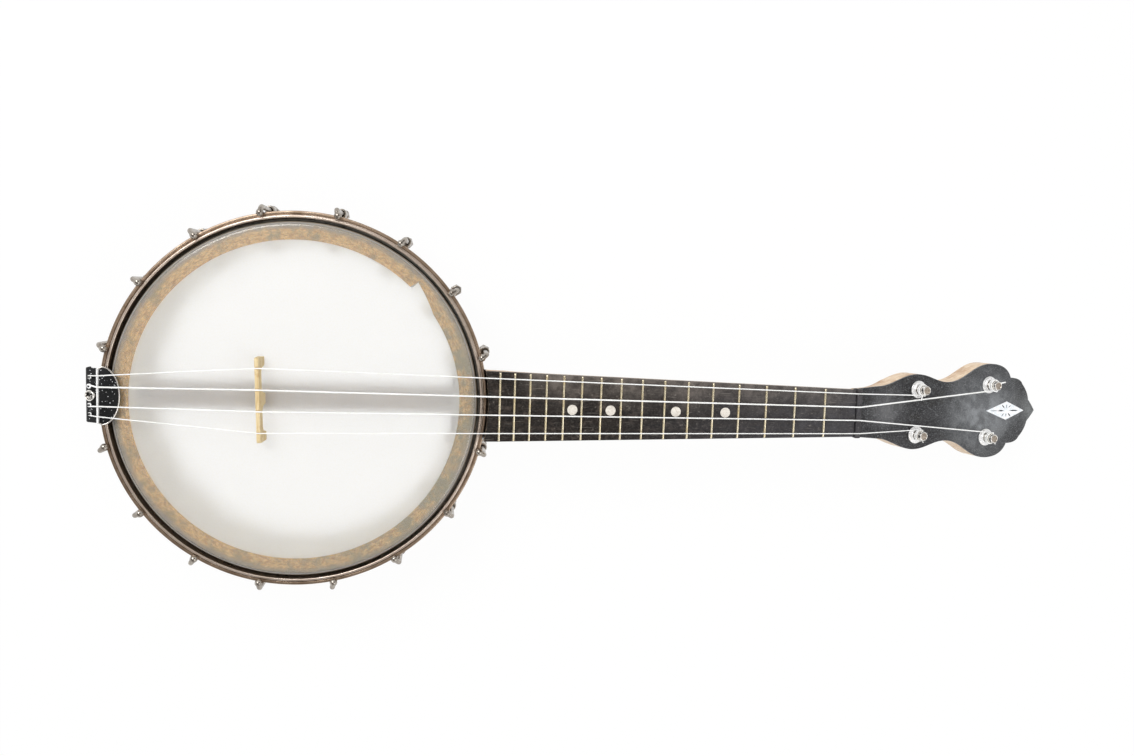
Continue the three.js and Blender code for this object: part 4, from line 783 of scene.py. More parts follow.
        # Stoved black japan: dark and dull, with chips of bright steel
        self.japanned = Japanned("japanned_black_steel", "#060607", "#1B1C1F", "#F2F4F6").material()
        # Frosted polyester film: milky where it hangs free, clear where it lies on the rim
        self.film = Film("frosted_polyester_film", 91.2, 99.9, (34.5, 46.5), 5.0).material()
        # Drawn nylon: smooth and white, with one thin highlight along it
        self.nylon = Moulded("drawn_nylon", "#F2F2EE", "#FFFFFF", 0.28, 6.0).material()
        # Polished pearl: white with faint cool and pink clouds
        self.pearl = Moulded(
            "polished_pearl", "#EDF1F4", "#FFFFFF", 0.2, 2.0, coat=0.2,
            stops=((0.3, "#EDF1F4"), (0.45, "#E9EFF4"), (0.55, "#FFFFFF"), (0.68, "#F7F3F5"))).material()
        # Worn shell: a warmer, duller white
        self.dot_shell = Moulded("worn_shell_dot", "#CDC5B9", "#E9E3D9", 0.3, 1.4).material()
        # Cast cream plastic: an even ivory with a soft gloss
        self.cream = Moulded("cream_button_plastic", "#D8CDAF", "#E9E1CA", 0.3, 9.0, coat=0.2).material()
        # Engraving filler, blue black where it is whole and grey where it has thinned
        self.filler = Moulded("engraving_filler", "#10151D", "#1E2631", 0.5, 0.8).material()
        self.worn_filler = Moulded("worn_engraving_filler", "#444E5C", "#6D7682", 0.5, 0.8).material()


# The instrument


@dataclass
class Pot:
    """The rim, its drumhead, both hoops, and the hooks and shoes that pull them down.

    The tables arm, barrel and washer_rim are turned profiles, each row a radius and a height.
    """

    finishes: Finishes
    clearance: float = 0.3
    head_radius: float = 101.6
    film: float = 0.6
    film_gap: float = 0.4
    collar: float = 16.0
    rim_wall: float = 9.7
    depth: float = 52.0
    bearing_edge: float = 1.8
    rim_roundings: tuple[float, float, float] = (1.5, 0.7, 1.0)
    lap_degrees: float = 46.5
    lap_step: float = 5.0
    lap_length: float = 19.0
    lap_face: float = 0.018
    hoop_gap: float = 1.7
    hoop_wall: float = 4.0
    hoop_height: float = 10.7
    hoop_over_head: float = 0.2
    inner_lip: float = 1.4
    groove: float = 0.8
    groove_depth: float = 2.8
    lip_step: float = 1.4
    flesh_gap: float = 0.03
    flesh_width: float = 4.6
    flesh_height: float = 5.4
    flesh_rounding: float = 1.1
    hooks_per_side: int = 8
    first_hook: float = 29.87
    wire: float = 2.94
    wire_end: float = 3.0
    ball: float = 4.3
    stand_off: float = 1.63
    bend: float = 2.2
    reach: float = 3.4
    swing: float = 24.0
    swing_step: float = 2.4
    nut_radius: float = 3.53
    nut_height: float = 7.0
    shoe_level: float = 24.0
    arm: Table = ((0, 0), (6, 0), (6, 1.1), (5.5, 1.6), (3.4, 2.2), (2.8, 3.4))
    arm_short: float = 2.2
    barrel: Table = ((1.86, -4.5), (3.0, -4.5), (3.0, 2.5), (2.7, 4.5), (1.86, 4.5))
    washer: float = 1.2
    washer_rim: Table = ((0, 0), (5.1, 0), (5.5, 0.3))
    washer_radius: float = 5.5
    bolt_radius: float = 2.3
    bolt_head: tuple[float, float] = (4.2, 3.2)

    @property
    def rim_outer(self) -> float:
        """The rim's outer radius."""
        return self.head_radius - self.film - self.film_gap

    @property
    def rim_inner(self) -> float:
        """The rim's inner radius."""
        return self.rim_outer - self.rim_wall

    @property
    def head_top(self) -> float:
        """The level of the drumhead's upper face."""
        return self.depth + self.film_gap + self.film

    @property
    def hoop_inner(self) -> float:
        """The tension hoop's inner radius."""
        return self.head_radius + self.hoop_gap

    @property
    def hoop_outer(self) -> float:
        """The tension hoop's outer radius."""
        return self.hoop_inner + self.hoop_wall

    @property
    def hoop_foot(self) -> float:
        """The level of the tension hoop's lower edge."""
        return self.head_top + self.hoop_over_head - self.hoop_height

    @property
    def flesh_foot(self) -> float:
        """The level of the flesh hoop's lower edge."""
        return self.hoop_foot - self.clearance - self.flesh_height

    @property
    def lip_top(self) -> float:
        """The level of the tension hoop's outer lip."""
        return self.head_top + self.hoop_over_head - self.lip_step

    @property
    def hook_radius(self) -> float:
        """How far the hooks' shanks stand from the pot's centre."""
        return self.hoop_outer + self.wire / 2 + self.stand_off

    @property
    def nut_top(self) -> float:
        """The level of the hooks' nuts, a clearance under the shoes' barrels."""
        return self.shoe_level + self.barrel[0][1] - self.clearance

    def rim(self) -> None:
        """Turns the rim. Its inner radius grows evenly up to the lapped seam and steps back in there."""
        r, runs = self.rim_outer, 7
        foot, top, inner_foot = self.rim_roundings
        outer = ring_profile([[r, 0], [r, self.depth], [self.rim_inner, self.depth], [self.rim_inner, 0]],
                             [foot, self.bearing_edge, top, inner_foot], runs)
        lap = math.radians(self.lap_degrees)
        end = lap - self.lap_length / self.rim_inner
        seam = [lap, lap + self.lap_face]
        turn = np.unique(np.concatenate([np.linspace(0, FULL_TURN, 241), np.linspace(end, lap, 25), seam]))
        share = np.clip((turn - end) / (lap - end), 0, 1) * (turn <= lap)
        inner = self.rim_inner + self.lap_step * share
        radius = inner + (outer[:, :1] - self.rim_inner) / self.rim_wall * (r - inner)
        grid = points(radius * np.cos(turn), radius * np.sin(turn), outer[:, 1:])
        # Each of the four corners has one point more than its runs
        edge = runs + 1
        rim = Piece("rim_bent_wood", "rim_wood")
        rim.add(self.finishes.rim_inside, grid[3 * edge - 1 : 3 * edge + 1])
        rim.add(self.finishes.rim_varnish, np.concatenate([grid[3 * edge : 4 * edge], grid[: edge + 1]]))
        rim.add(self.finishes.rim_maple, grid[edge : 3 * edge]).finish("rim")

    def drumhead(self) -> None:
        """Turns the film: flat, a quarter turn over the bearing edge, then straight down in its collar."""
        centre, level = self.rim_outer - self.bearing_edge, self.depth - self.bearing_edge
        turn = np.linspace(0, QUARTER_TURN, 13)
        out = np.linspace(0, centre, 9)[:-1]
        inside = self.bearing_edge + self.film_gap
        over_edge = points(np.sin(turn), np.cos(turn))
        under, over = (
            np.concatenate([points(out, level + radius), [centre, level] + radius * over_edge])
            for radius in (inside, inside + self.film)
        )
        foot = self.head_top - self.collar
        ends = [[under[-1, 0], foot], [over[-1, 0], foot]]
        profile = np.concatenate([under, ends, over[::-1]])
        drumhead = Piece("drumhead_film", "head_film")
        drumhead.add(self.finishes.film, lathe(profile, segments=240)).finish("drumhead")

    def hoops(self) -> None:
        """Turns the flesh hoop that holds the film's edge, and the grooved tension hoop above it."""
        low, high = self.flesh_foot, self.hoop_foot - self.clearance
        inner, wide = self.head_radius + self.flesh_gap, self.head_radius + self.clearance + self.flesh_width
        flesh = ring_profile([[inner, low], [wide, low], [wide, high], [inner, high]], self.flesh_rounding)
        ring_piece = Piece("flesh_hoop_ring", "flesh_hoop_metal")
        ring_piece.add(self.finishes.aluminium, lathe(flesh, segments=200)).finish("flesh_hoop")
        foot, lip, crest = self.hoop_foot, self.lip_top, self.lip_top + self.lip_step
        floor = crest - self.groove_depth
        a, d = self.hoop_inner, self.hoop_outer
        b = a + self.inner_lip
        c = b + self.groove
        corners = [[a, foot], [d, foot], [d, lip], [c, lip], [c, floor], [b, floor], [b, crest], [a, crest]]
        runs = 5
        line = ring_profile(corners, radius=[0.5, 0.7, 0.7, 0.35, 0.2, 0.2, 0.5, 0.5], steps=runs)[:-1]
        # The outer band goes from the second corner to the fifth, and the crest takes in the rest
        edge = runs + 1
        band = line[edge : 5 * edge]
        crest_line = np.concatenate([line[5 * edge - 1 :], line[: edge + 1]])
        # Crest and band are lit and shaded copies: painted highlight on the crest, painted shade on the band
        hoop = Piece("tension_hoop_ring", "aged_nickel")
        hoop.add(self.finishes.hoop_flank_tarnish_and_shade, lathe(band, segments=280))
        hoop.add(self.finishes.hoop_crest, lathe(crest_line, segments=280)).finish("tension_hoop")

    def hook(self, swing: float) -> list[np.ndarray]:
        """One hook: its wire is a tube whose radius swells to sqrt(ball^2 - d^2) round the ball's centre.

        Args:
            swing: the turn of the hook about its own shank, in radians.

        Returns:
            The hook's patches, with its shank on Z, reaching inward along -X.
        """
        ball = self.ball / 2
        level = self.lip_top + self.clearance + ball
        head = np.linspace(-self.reach - ball, -self.bend, 22)
        turn = np.linspace(0, QUARTER_TURN, 9)[1:]
        centre = level - self.bend
        foot = self.nut_top - self.nut_height - self.wire_end
        path = np.concatenate([
            points(head, 0, level),
            points(self.bend * (np.sin(turn) - 1), 0, centre + self.bend * np.cos(turn)),
            points(0, 0, np.linspace(centre, foot, 12)[1:]),
        ])
        swell = np.sqrt(np.clip(ball**2 - (head + self.reach) ** 2, 0, None))
        radius = np.full(len(path), self.wire / 2)
        radius[: len(head)] = np.where(head < -self.reach, swell, np.maximum(swell, self.wire / 2))
        wire = tube(path, radius, sides=16, up=(0, 1, 0))
        nut = self.hexagon(self.nut_radius, self.nut_top - self.nut_height, self.nut_top)
        turned = Matrix.Rotation(swing, 4, "Z")
        return [moved(part, turned) for part in [wire, *nut]]

    @staticmethod
    def hexagon(radius: float, bottom: float, top: float) -> list[np.ndarray]:
        """A six-sided nut or bolt head with softened corners and rims."""
        outline = softened(ring(radius, corners=6), radius=0.35, steps=3)
        return slab(outline, bottom, top, edge=0.45, steps=3)

    def shoe(self) -> tuple[list[np.ndarray], list[np.ndarray]]:
        """One shoe on the +X side.

        Returns:
            The turned base and arm with their upright barrel, and the washer and bolt head inside the rim.
        """
        base = self.rim_outer + self.clearance
        end = self.hook_radius - self.arm_short
        arm = np.array([*(np.array(self.arm) + [0, base]), [self.arm[-1][0], end], [0, end]])
        wall = math.sqrt(self.rim_inner**2 - self.washer_radius**2) - self.clearance
        face = wall - self.washer
        rest = [[self.washer_radius, wall], [self.bolt_radius, wall], [self.bolt_radius, base], [0, base]]
        washer = np.concatenate([np.array(self.washer_rim) + [0, face], rest])
        head_radius, head_height = self.bolt_head
        head = self.hexagon(head_radius, face - head_height, face)
        barrel = ring_profile(self.barrel, radius=[0.3, 0.6, 0.8, 0.4, 0.2])
        at_shank = Matrix.Translation((self.hook_radius, 0, 0))
        lifted = Matrix.Translation((0, 0, self.shoe_level))
        outside = [moved(lathe(arm, segments=24), Z_ONTO_X), moved(lathe(barrel, segments=28), at_shank)]
        inside = [moved(part, Z_ONTO_X) for part in (lathe(washer, segments=24), *head)]
        return [moved(part, lifted) for part in outside], [moved(part, lifted) for part in inside]

    def hardware(self) -> None:
        """Sets the hooks and shoes round the pot, evenly spaced from neck to tail on each side."""
        first = self.first_hook / self.hook_radius
        one_side = np.linspace(first, math.pi - first, self.hooks_per_side)
        outside, inside = self.shoe()
        for i, angle in enumerate([*one_side, *(FULL_TURN - one_side[::-1])]):
            number = f"{i + 1:02d}"
            # No two neighbours hang alike: each hook is turned by a sine of its number
            swing = math.radians(self.swing * math.sin(self.swing_step * i + 1))
            spot = Matrix.Rotation(angle, 4, "Z")
            hook = Piece(f"tension_hook_{number}", "aged_nickel")
            hook.add(self.finishes.hook_nickel, *self.hook(swing))
            hook.place(spot @ Matrix.Translation((self.hook_radius, 0, 0))).finish(f"hook_{number}")
            shoe = Piece(f"bracket_shoe_{number}", "aged_nickel")
            shoe.add(self.finishes.hook_nickel, *outside).add(self.finishes.bright_nickel, *inside)
            shoe.place(spot).finish(f"shoe_{number}")

    def build(self) -> None:
        """Builds every piece of the pot."""
        self.rim()
        self.drumhead()
        self.hoops()
        self.hardware()


@dataclass
class Neck:
    """The neck with its heel, the fretboard with frets and dots, the string nut, the dowel and its brace.

    Rows of fret_slope hold how far in from a fret's end a station lies, and the crown's share of its height.
    """

    finishes: Finishes
    pot: Pot
    scale: float = 359.0
    frets: int = 16
    last_fret: float = 6.87
    rise: float = 8.2
    board: float = 4.5
    board_edge: float = 0.35
    hollow_short: float = 0.05
    hoop_room: float = 0.5
    width_at_nut: float = 28.8
    width_at_last: float = 40.5
    fret_width: float = 1.3
    fret_height: float = 0.9
    fret_root: float = 0.5
    crown_power: float = 0.8
    crown_taper: float = 1.3
    fret_short: float = 0.35
    fret_slope: Table = ((0.0, 0.0), (0.0, 0.6), (0.25, 0.9), (0.7, 1.0))
    depth_at_nut: float = 12.0
    depth_at_heel: float = 15.5
    heel_depth: float = 47.0
    heel_cap: float = 43.0
    heel_foot: float = 17.0
    heel_lead: float = 3.0
    heel_curve: float = 34.0
    heel_arc: float = 0.97
    section_power: float = 0.85
    nut_length: float = 3.5
    nut_rise: float = 1.3
    nut_flat: float = 0.6
    nut_over: float = 0.6
    slot_depth: float = 0.45
    slot_room: float = 0.25
    slot_reach: float = 0.9
    dowel_width: float = 15.0
    dowel_depth: float = 22.0
    dowel_level: float = 26.0
    dowel_corner: float = 6.0
    tenon_radius: float = 6.0
    tenon_root: float = 1.6
    tenon_length: float = 22.0
    brace_wide: float = 18.0
    brace_tall: float = 17.0
    brace_sheet: float = 2.4
    brace_edge: float = 0.4
    dot_frets: tuple[int, ...] = (5, 7, 10, 12)
    dot_size: float = 6.0
    dot_side: float = -0.9
    dot_depth: float = 0.8
    dot_proud: float = 0.06

    @property
    def top(self) -> float:
        """The level of the fretboard's face."""
        return self.pot.head_top + self.rise

    @property
    def under_board(self) -> float:
        """The level of the neck's flat top, a clearance below the fretboard."""
        return self.top - self.board - self.pot.clearance

    @property
    def pot_cut(self) -> float:
        """The radius that keeps the neck clear of the tension hoop."""
        return self.pot.hoop_outer + self.hoop_room

    @property
    def nut_x(self) -> float:
        """The nut's near face, from the pot's centre."""
        return self.pot.hoop_outer + self.last_fret + self.scale * (1 - 2 ** (-self.frets / 12))

    def fret_x(self, number: float) -> float:
        """A fret's distance from the pot's centre: each leaves the twelfth root of a half of the string."""
        return self.nut_x - self.scale * (1 - 2 ** (-number / 12))

    def half(self, x: np.ndarray | float) -> np.ndarray | float:
        """Half the fretboard's width, which grows evenly from the nut to the last fret."""
        share = (self.nut_x - x) / (self.nut_x - self.fret_x(self.frets))
        return (self.width_at_nut + (self.width_at_last - self.width_at_nut) * share) / 2

    def shaft(self) -> list[np.ndarray]:
        """Lofts the neck: y = -half cos(a), z = top - depth sin(a)^power, its depth easing up from the heel.

        Returns:
            The skin from heel to nut, its flat top, the heel's face, which follows the rim and the hoop, and
            the end at the nut.
        """
        foot, start = self.pot.rim_outer + self.heel_foot, self.pot.rim_outer - self.heel_lead
        end = foot + self.heel_curve
        ease, block = np.linspace(0, 1, 25), np.linspace(start, foot, 9)[:-1]
        rest = np.linspace(end, self.nut_x + self.nut_length, 14)[1:]
        along = np.concatenate([block, foot + self.heel_curve * ease, rest])
        # The heel's curve is the end of a circle's quarter, brought to run from one down to nothing
        fall = (1 - np.sqrt(1 - (1 - ease) ** 2 * self.heel_arc)) / (1 - math.sqrt(1 - self.heel_arc))
        heel = self.depth_at_heel + (self.heel_depth - self.depth_at_heel) * fall
        taper = (rest - end) / (rest[-1] - end)
        shaft = self.depth_at_heel + (self.depth_at_nut - self.depth_at_heel) * taper
        depth = np.concatenate([np.full(len(block), self.heel_depth), heel, shaft])
        quarter = 36
        turn = np.linspace(0, math.pi, 2 * quarter + 1)
        y = -self.half(along)[:, None] * np.cos(turn)
        z = self.under_board - depth[:, None] * np.sin(turn) ** self.section_power
        z = np.maximum(z, self.under_board - self.heel_cap)
        skin = points(np.maximum(along[:, None], self.clear_of_pot(y, z)), y, z)
        across = np.linspace(0, 1, 33)[None, :, None]
        flat = skin[:, :1] * (1 - across) + skin[:, -1:] * across
        flat[..., 0] = np.maximum(along[:, None], self.clear_of_pot(flat[..., 1], flat[..., 2]))
        across = across[:, ::2]
        left, right = skin[0, : quarter + 1, None], skin[0, ::-1][: quarter + 1, None]
        face = left * (1 - across) + right * across
        face[..., 0] = self.clear_of_pot(face[..., 1], face[..., 2])
        return [skin, flat, face, skin[-1:]]

    def clear_of_pot(self, y: np.ndarray, z: np.ndarray) -> np.ndarray:
        """The least x that clears the rim below the flesh hoop, and the tension hoop above it."""
        gap = self.pot.clearance
        radius = np.where(z < self.pot.flesh_foot - gap, self.pot.rim_outer + gap, self.pot_cut)
        return np.sqrt(np.clip(radius**2 - y**2, 0, None))

    def fretboard(self) -> None:
        """Makes the fretboard, its pot end hollowed to the hoop's curve, then the frets and the dots."""
        wide = self.half(self.pot_cut) - self.hollow_short
        bow = np.linspace(wide, -wide, 33)
        hollow = points(np.sqrt(self.pot_cut**2 - bow**2), bow)
        stations = np.linspace(hollow[0, 0], self.nut_x - self.pot.clearance, 30)
        side = points(stations, self.half(stations))[1:]
        outline = np.concatenate([side * [1, -1], side[::-1], hollow])
        board = Piece("fretboard_slab", "dark_wood", sharp=30)
        grids = slab(outline, self.top - self.board, self.top, self.board_edge)
        board.add(self.finishes.fingerboard, *grids).finish("fretboard")
        for number in range(1, self.frets + 1):
            self.fret(number)
        for i, number in enumerate(self.dot_frets):
            middle = (self.fret_x(number) + self.fret_x(number - 1)) / 2
            disc = ring(self.dot_size / 2, corners=40) + [middle, self.dot_side]
            grids = slab(disc, self.top - self.dot_depth, self.top + self.dot_proud, edge=0.05, steps=2)
            Piece(f"position_dot_{i + 1}", "pearl").add(self.finishes.dot_shell, *grids).finish()

    def fret(self, number: int) -> None:
        """One fret: a half-round crown, z = height sin(a)^power, whose ends slope down to the board."""
        half, side = self.half(self.fret_x(number)) - self.fret_short, self.fret_width / 2
        turn = np.linspace(0, math.pi, 13)
        crown = points(np.cos(turn) * side, np.sin(turn) ** self.crown_power * self.fret_height)
        section = np.concatenate([crown, [[-side, -self.fret_root], [side, -self.fret_root]], crown[:1]])
        slope, size = np.array(self.fret_slope).T
        y = np.concatenate([slope - half, (half - slope)[::-1]])[:, None]
        size = np.concatenate([size, size[::-1]])[:, None]
        x = self.fret_x(number) + section[:, 0] * np.minimum(size * self.crown_taper, 1)
        z = self.top + section[:, 1] * np.where(section[:, 1] > 0, size, size > 0)
        Piece(f"fret_{number:02d}", "bright_nickel").add(self.finishes.fret_wire, points(x, y, z)).finish()

    def string_nut(self, sides: np.ndarray, gauges: np.ndarray) -> None:
        """Makes the nut: one section carried across, its crest lowered by each string's slot.

        Args:
            sides: the strings' places across the nut.
            gauges: the strings' diameters.
        """
        near, far = self.nut_x, self.nut_x + self.nut_length
        low, crest = self.under_board + self.pot.clearance, self.top + self.nut_rise
        shoulder, brow = [far, self.top + self.nut_rise / 3], [near + self.nut_flat * self.nut_length, crest]
        corners = [[near, low], [far, low], shoulder, brow, [near, crest]]
        section = ring_profile(corners, radius=[0.1, 0.1, 0.4, 0.8, 0.3], steps=5)
        half = self.width_at_nut / 2 + self.nut_over
        at_slots = (sides[:, None] + np.linspace(-self.slot_reach, self.slot_reach, 15)).ravel()
        y = np.unique(np.concatenate([np.linspace(-half, half, 60), at_slots]))[:, None]
        # A slot is a flat-bottomed dip, 1 - (distance / half width)^4, and only the crest is lowered
        dips = np.clip(1 - (np.abs(y - sides) / (gauges / 2 + self.slot_room)) ** 4, 0, 1)
        slot = dips.max(axis=1, keepdims=True) * self.slot_depth
        lift = np.clip((section[:, 1] - self.top) / self.nut_rise, 0, 1)
        grid = points(section[:, 0], y, section[:, 1] - slot * lift)
        nut = Piece("string_nut_block", "dark_wood")
        nut.add(self.finishes.fingerboard, grid, grid[:1, :-1], grid[-1:, :-1]).finish("string_nut")

    def dowel(self) -> None:
        """Makes the dowel stick with its tenon, and the brace plate that it passes through."""
        gap, rim = self.pot.clearance, self.pot.rim_outer
        half, half_depth = self.dowel_width / 2, self.dowel_depth / 2
        tail = -math.sqrt(self.pot.rim_inner**2 - half**2) + gap
        # Sections are drawn in X and Y, and stood up so that their Z runs along the dowel
        stood_up = Matrix(((0, 0, 1, 0), (1, 0, 0, 0), (0, 1, 0, 0), (0, 0, 0, 1)))
        upright = Matrix.Translation((0, 0, self.dowel_level)) @ stood_up
        bar = slab(softened(oblong(half, half_depth), self.dowel_corner, steps=8), tail, rim - gap, edge=0.6)
        root, tip, r = rim - self.tenon_root, rim + self.tenon_length, self.tenon_radius
        tenon = np.array([[0, root], [r, root], [r, tip - 1], [r - 1, tip], [0, tip]])
        stick = Piece("dowel_stick_bar", "dowel_wood")
        stick.add(self.finishes.dowel_wood, *bar, lathe(tenon, segments=32))
        stick.place(upright).finish("dowel_stick")
        outer = softened(oblong(self.brace_wide, self.brace_tall), radius=3.0, steps=6)
        inner = softened(oblong(half + gap, half_depth + gap), self.dowel_corner, steps=6)
        back = math.sqrt(self.pot.rim_inner**2 - self.brace_wide**2) - gap
        front, step = back - self.brace_sheet, back - self.brace_sheet + self.brace_edge
        bevelled = inset(outer, self.brace_edge)
        loops = [(outer, step), (bevelled, front), (inner, front), (inner, back), (outer, back)]
        rings = np.stack([points(*outline.T, x) for outline, x in [*loops, loops[0]]])
        brace = Piece("neck_brace_plate", "aged_nickel")
        brace.add(self.finishes.hook_nickel, np.concatenate([rings, rings[:, :1]], axis=1))
        brace.place(upright).finish("neck_brace")


@dataclass
class Headstock:
    """The scrolled head: its blank, face veneer, pearl diamond, bushings, pegs and buttons.

    The table scroll holds the half outline from the nut's shoulder to the tip, each row the controls of one
    curve after its first point, which is the last point of the row before. The tables of leaves hold a
    direction in degrees, a start, a length and a share of the leaf's full width.
    """

    finishes: Finishes
    neck: Neck
    tilt: float = 12.8
    drop: float = 2.7
    thickness: float = 14.0
    face: float = 1.8
    face_edge: float = 0.35
    blank_edge: float = 0.9
    blank_start: float = -1.0
    glue: float = 0.05
    root_half: float = 15.1
    root_length: float = 28.0
    root_taper: float = 0.35
    scroll: tuple[Table, ...] = (
        ((18, 16.3),),
        ((28, 16.3), (37, 23.8), (47, 23.8)),
        ((57, 23.8), (62, 18.8), (72, 18.8)),
        ((86, 18.8), (92, 30.7), (106, 30.7)),
        ((116, 30.7), (121, 26.7), (123, 21.7)),
        ((131.4, 21.6), (133.4, 17.6)),
        ((138.4, 12.6), (139.4, 7.2)),
        ((142.8, 3.6), (145.2, 0)),
    )
    inlay_at: float = 121.0
    inlay_depth: float = 0.7
    inlay_proud: float = 0.05
    filler_proud: float = 0.09
    inlay_tips: tuple[float, float, float] = (17.0, 15.0, 6.1)
    leaf: Table = ((0, 0), (0.4, -0.3), (0.75, -0.22), (1, 0.1), (0.8, 0.2), (0.45, 0.34))
    dark_leaves: Table = (
        (0, 2.4, 7.8, 1.35),
        (180, 1.9, 5.2, 1.5),
        (135, 2.1, 3.6, 1.25),
        (-45, 2.1, 3.6, 1.25),
    )
    worn_leaves: Table = (
        (180, 6.6, 7.2, 0.7),
        (45, 2.3, 3.1, 0.9),
        (-135, 2.3, 3.1, 0.9),
        (90, 1.5, 2.6, 0.95),
        (-90, 1.5, 2.6, 0.95),
    )
    seats: Table = ((47.4, 14.3), (104.3, 17.1), (104.3, -17.1), (47.4, -14.3))
    post: float = 2.8
    post_height: float = 8.5
    post_wall: float = 0.6
    cup_edge: float = 0.4
    cup_middle: float = 0.3
    bushing_hole: float = 3.1
    bushing_barrel: tuple[float, float] = (4.0, 13.0)
    bushing_flange: tuple[float, float] = (5.5, 1.0)
    bushing_cone: tuple[float, float] = (4.5, 3.9)
    bushing_lip: float = 1.2
    peg_collar: float = 4.5
    peg_foot: float = 2.6
    button_half: float = 9.0
    button_length: float = 13.0
    button_neck: tuple[float, float] = (2.6, -0.4)
    button_waist: tuple[float, float] = (4.0, 3.0)
    button_shoulder: float = 2.0
    button_widest: float = 7.15
    button_half_thick: float = 2.5
    button_edge: float = 1.9

    @property
    def matrix(self) -> Matrix:
        """The head's own frame: X along the face from the nut, Z out of the face."""
        spot = Matrix.Translation((self.neck.nut_x, 0, self.neck.top - self.drop))
        return spot @ Matrix.Rotation(math.radians(self.tilt), 4, "Y")

    @property
    def bushing_top(self) -> float:
        """How far the bushings stand out of the face."""
        return self.neck.pot.clearance + self.bushing_flange[1] + self.bushing_lip

    def outline(self, start: float) -> np.ndarray:
        """The scroll outline: curves through the lobes and the waist, then the shoulder, crown and tip."""
        knot, runs = (start, self.root_half), []
        for controls in self.scroll:
            runs.append(curve(knot, *controls, steps=14))
            knot = controls[-1]
        upper = np.concatenate(runs)
        return np.concatenate([upper * [1, -1], [knot], upper[::-1]])

    def body(self) -> None:
        """Makes the neck with the head's blank behind the veneer, then the veneer and the inlay."""
        back = -self.face - self.glue
        blank_slab = slab(self.outline(self.blank_start), -self.thickness, back, self.blank_edge, steps=5)
        for part in blank_slab:
            # The blank narrows towards its back where it joins the neck's rounder shaft
            low = np.clip((-self.face - part[..., 2]) / self.thickness, 0, 1)
            root = np.clip(1 - part[..., 0] / self.root_length, 0, 1)
            part[..., 1] *= 1 - self.root_taper * low * root
        skin, flat, face, end = self.neck.shaft()
        shaft = Piece("neck_carved", "neck_wood", sharp=32).add(self.finishes.neck_wood, skin, flat, end)
        shaft.add(self.finishes.neck_wood, *(moved(part, self.matrix) for part in blank_slab))
        shaft.add(self.finishes.fingerboard, face).finish("neck")
        tilt = math.radians(self.tilt)
        nut_far = self.neck.nut_length + self.neck.pot.clearance
        start = (nut_far + self.face * math.sin(tilt)) / math.cos(tilt)
        veneer = Piece("headstock_veneer", "dark_wood", sharp=30)
        veneer.add(self.finishes.veneer, *slab(self.outline(start), -self.face, 0.0, self.face_edge))
        veneer.place(self.matrix).finish("headstock_face")
        self.inlay()

    def inlay(self) -> None:
        """Lets in the pearl diamond and engraves its eight rays."""
        to_nut, to_tip, short_half = self.inlay_tips
        corners = np.array([[-to_nut, 0], [0, -short_half], [to_tip, 0], [0, short_half]])
        diamond = softened(corners, radius=0.35, steps=3) + [self.inlay_at, 0]
        grids = slab(diamond, -self.inlay_depth, self.inlay_proud, edge=0.05, steps=2)
        inlay = Piece("diamond_pearl", "pearl").add(self.finishes.pearl, *grids)
        inlay.place(self.matrix).finish("diamond_inlay")
        rays = Piece("diamond_rays", "pearl").add(self.finishes.filler, *self.rays(self.dark_leaves))
        rays.add(self.finishes.worn_filler, *self.rays(self.worn_leaves)).place(self.matrix).finish()

    def rays(self, leaves: Table) -> list[np.ndarray]:
        """The engraving: slender leaves, the two along the head longer than the rest.

        Args:
            leaves: each leaf's direction in degrees, its start, its length and its share of the full width.

        Returns:
            The leaves' patches.
        """
        parts = []
        for degrees, start, length, width in leaves:
            angle = math.radians(degrees)
            turn = np.array([[math.cos(angle), math.sin(angle)], [-math.sin(angle), math.cos(angle)]])
            outline = (np.array(self.leaf) * [length, width] + [start, 0.0]) @ turn + [self.inlay_at, 0]
            parts += slab(outline, 0.0, self.filler_proud, edge=0.03, steps=2)
        return parts

    def tuners(self) -> None:
        """Makes the four friction pegs: a bushing on the head, and post and button on the peg's own body."""
        rise, lip, hole = self.neck.pot.clearance, self.bushing_top, self.bushing_hole
        (barrel, depth), (wide, thick) = self.bushing_barrel, self.bushing_flange
        cone_foot, cone_top = self.bushing_cone
        flange = rise + thick
        section = [[hole, -depth], [barrel, -depth], [barrel, rise], [wide, rise]]
        section += [[wide, flange], [cone_foot, flange], [cone_top, lip], [hole, lip]]
        roundings = [0.1, 0.1, 0.05, 0.25, 0.45, 0.15, 0.4, 0.3]
        bushing = lathe(ring_profile(section, roundings), segments=48)
        back = -self.thickness - rise
        foot, post, collar, height = back - self.peg_foot, self.post, self.peg_collar, self.post_height
        rim = post - self.post_wall
        peg = [[0, foot], [collar - 1, foot], [collar, back - 1], [collar, back], [post, back]]
        peg += [[post, height], [rim, height], [rim, height - self.cup_edge]]
        roundings = [0.1, 0.3, 0.5, 0.4, 0.1, 0.35, 0.2, 0.1]
        line = softened(np.array(peg, float), roundings, steps=4, closed=False)
        cup = np.array([peg[-1], [0, height - self.cup_middle]])
        for number, (at, side) in enumerate(self.seats, 1):
            spot = self.matrix @ Matrix.Translation((at, side, 0))
            body = Body.TUNER.value.format(number)
            seat = Piece(f"peg_bushing_{number}", "bright_nickel").add(self.finishes.bushing, bushing)
            seat.place(spot).finish(f"tuner_bushing_{number}")
            turned = Piece(f"peg_post_{number}", "bright_nickel", body)
            turned.add(self.finishes.bright_nickel, lathe(line, segments=48))
            turned.add(self.finishes.post_end, lathe(cup, segments=48)).place(spot).finish(f"tuner_{number}")
            button = Piece(f"peg_button_{number}", "tuner_buttons", body)
            button.add(self.finishes.cream, *self.button(foot)).place(spot).finish()

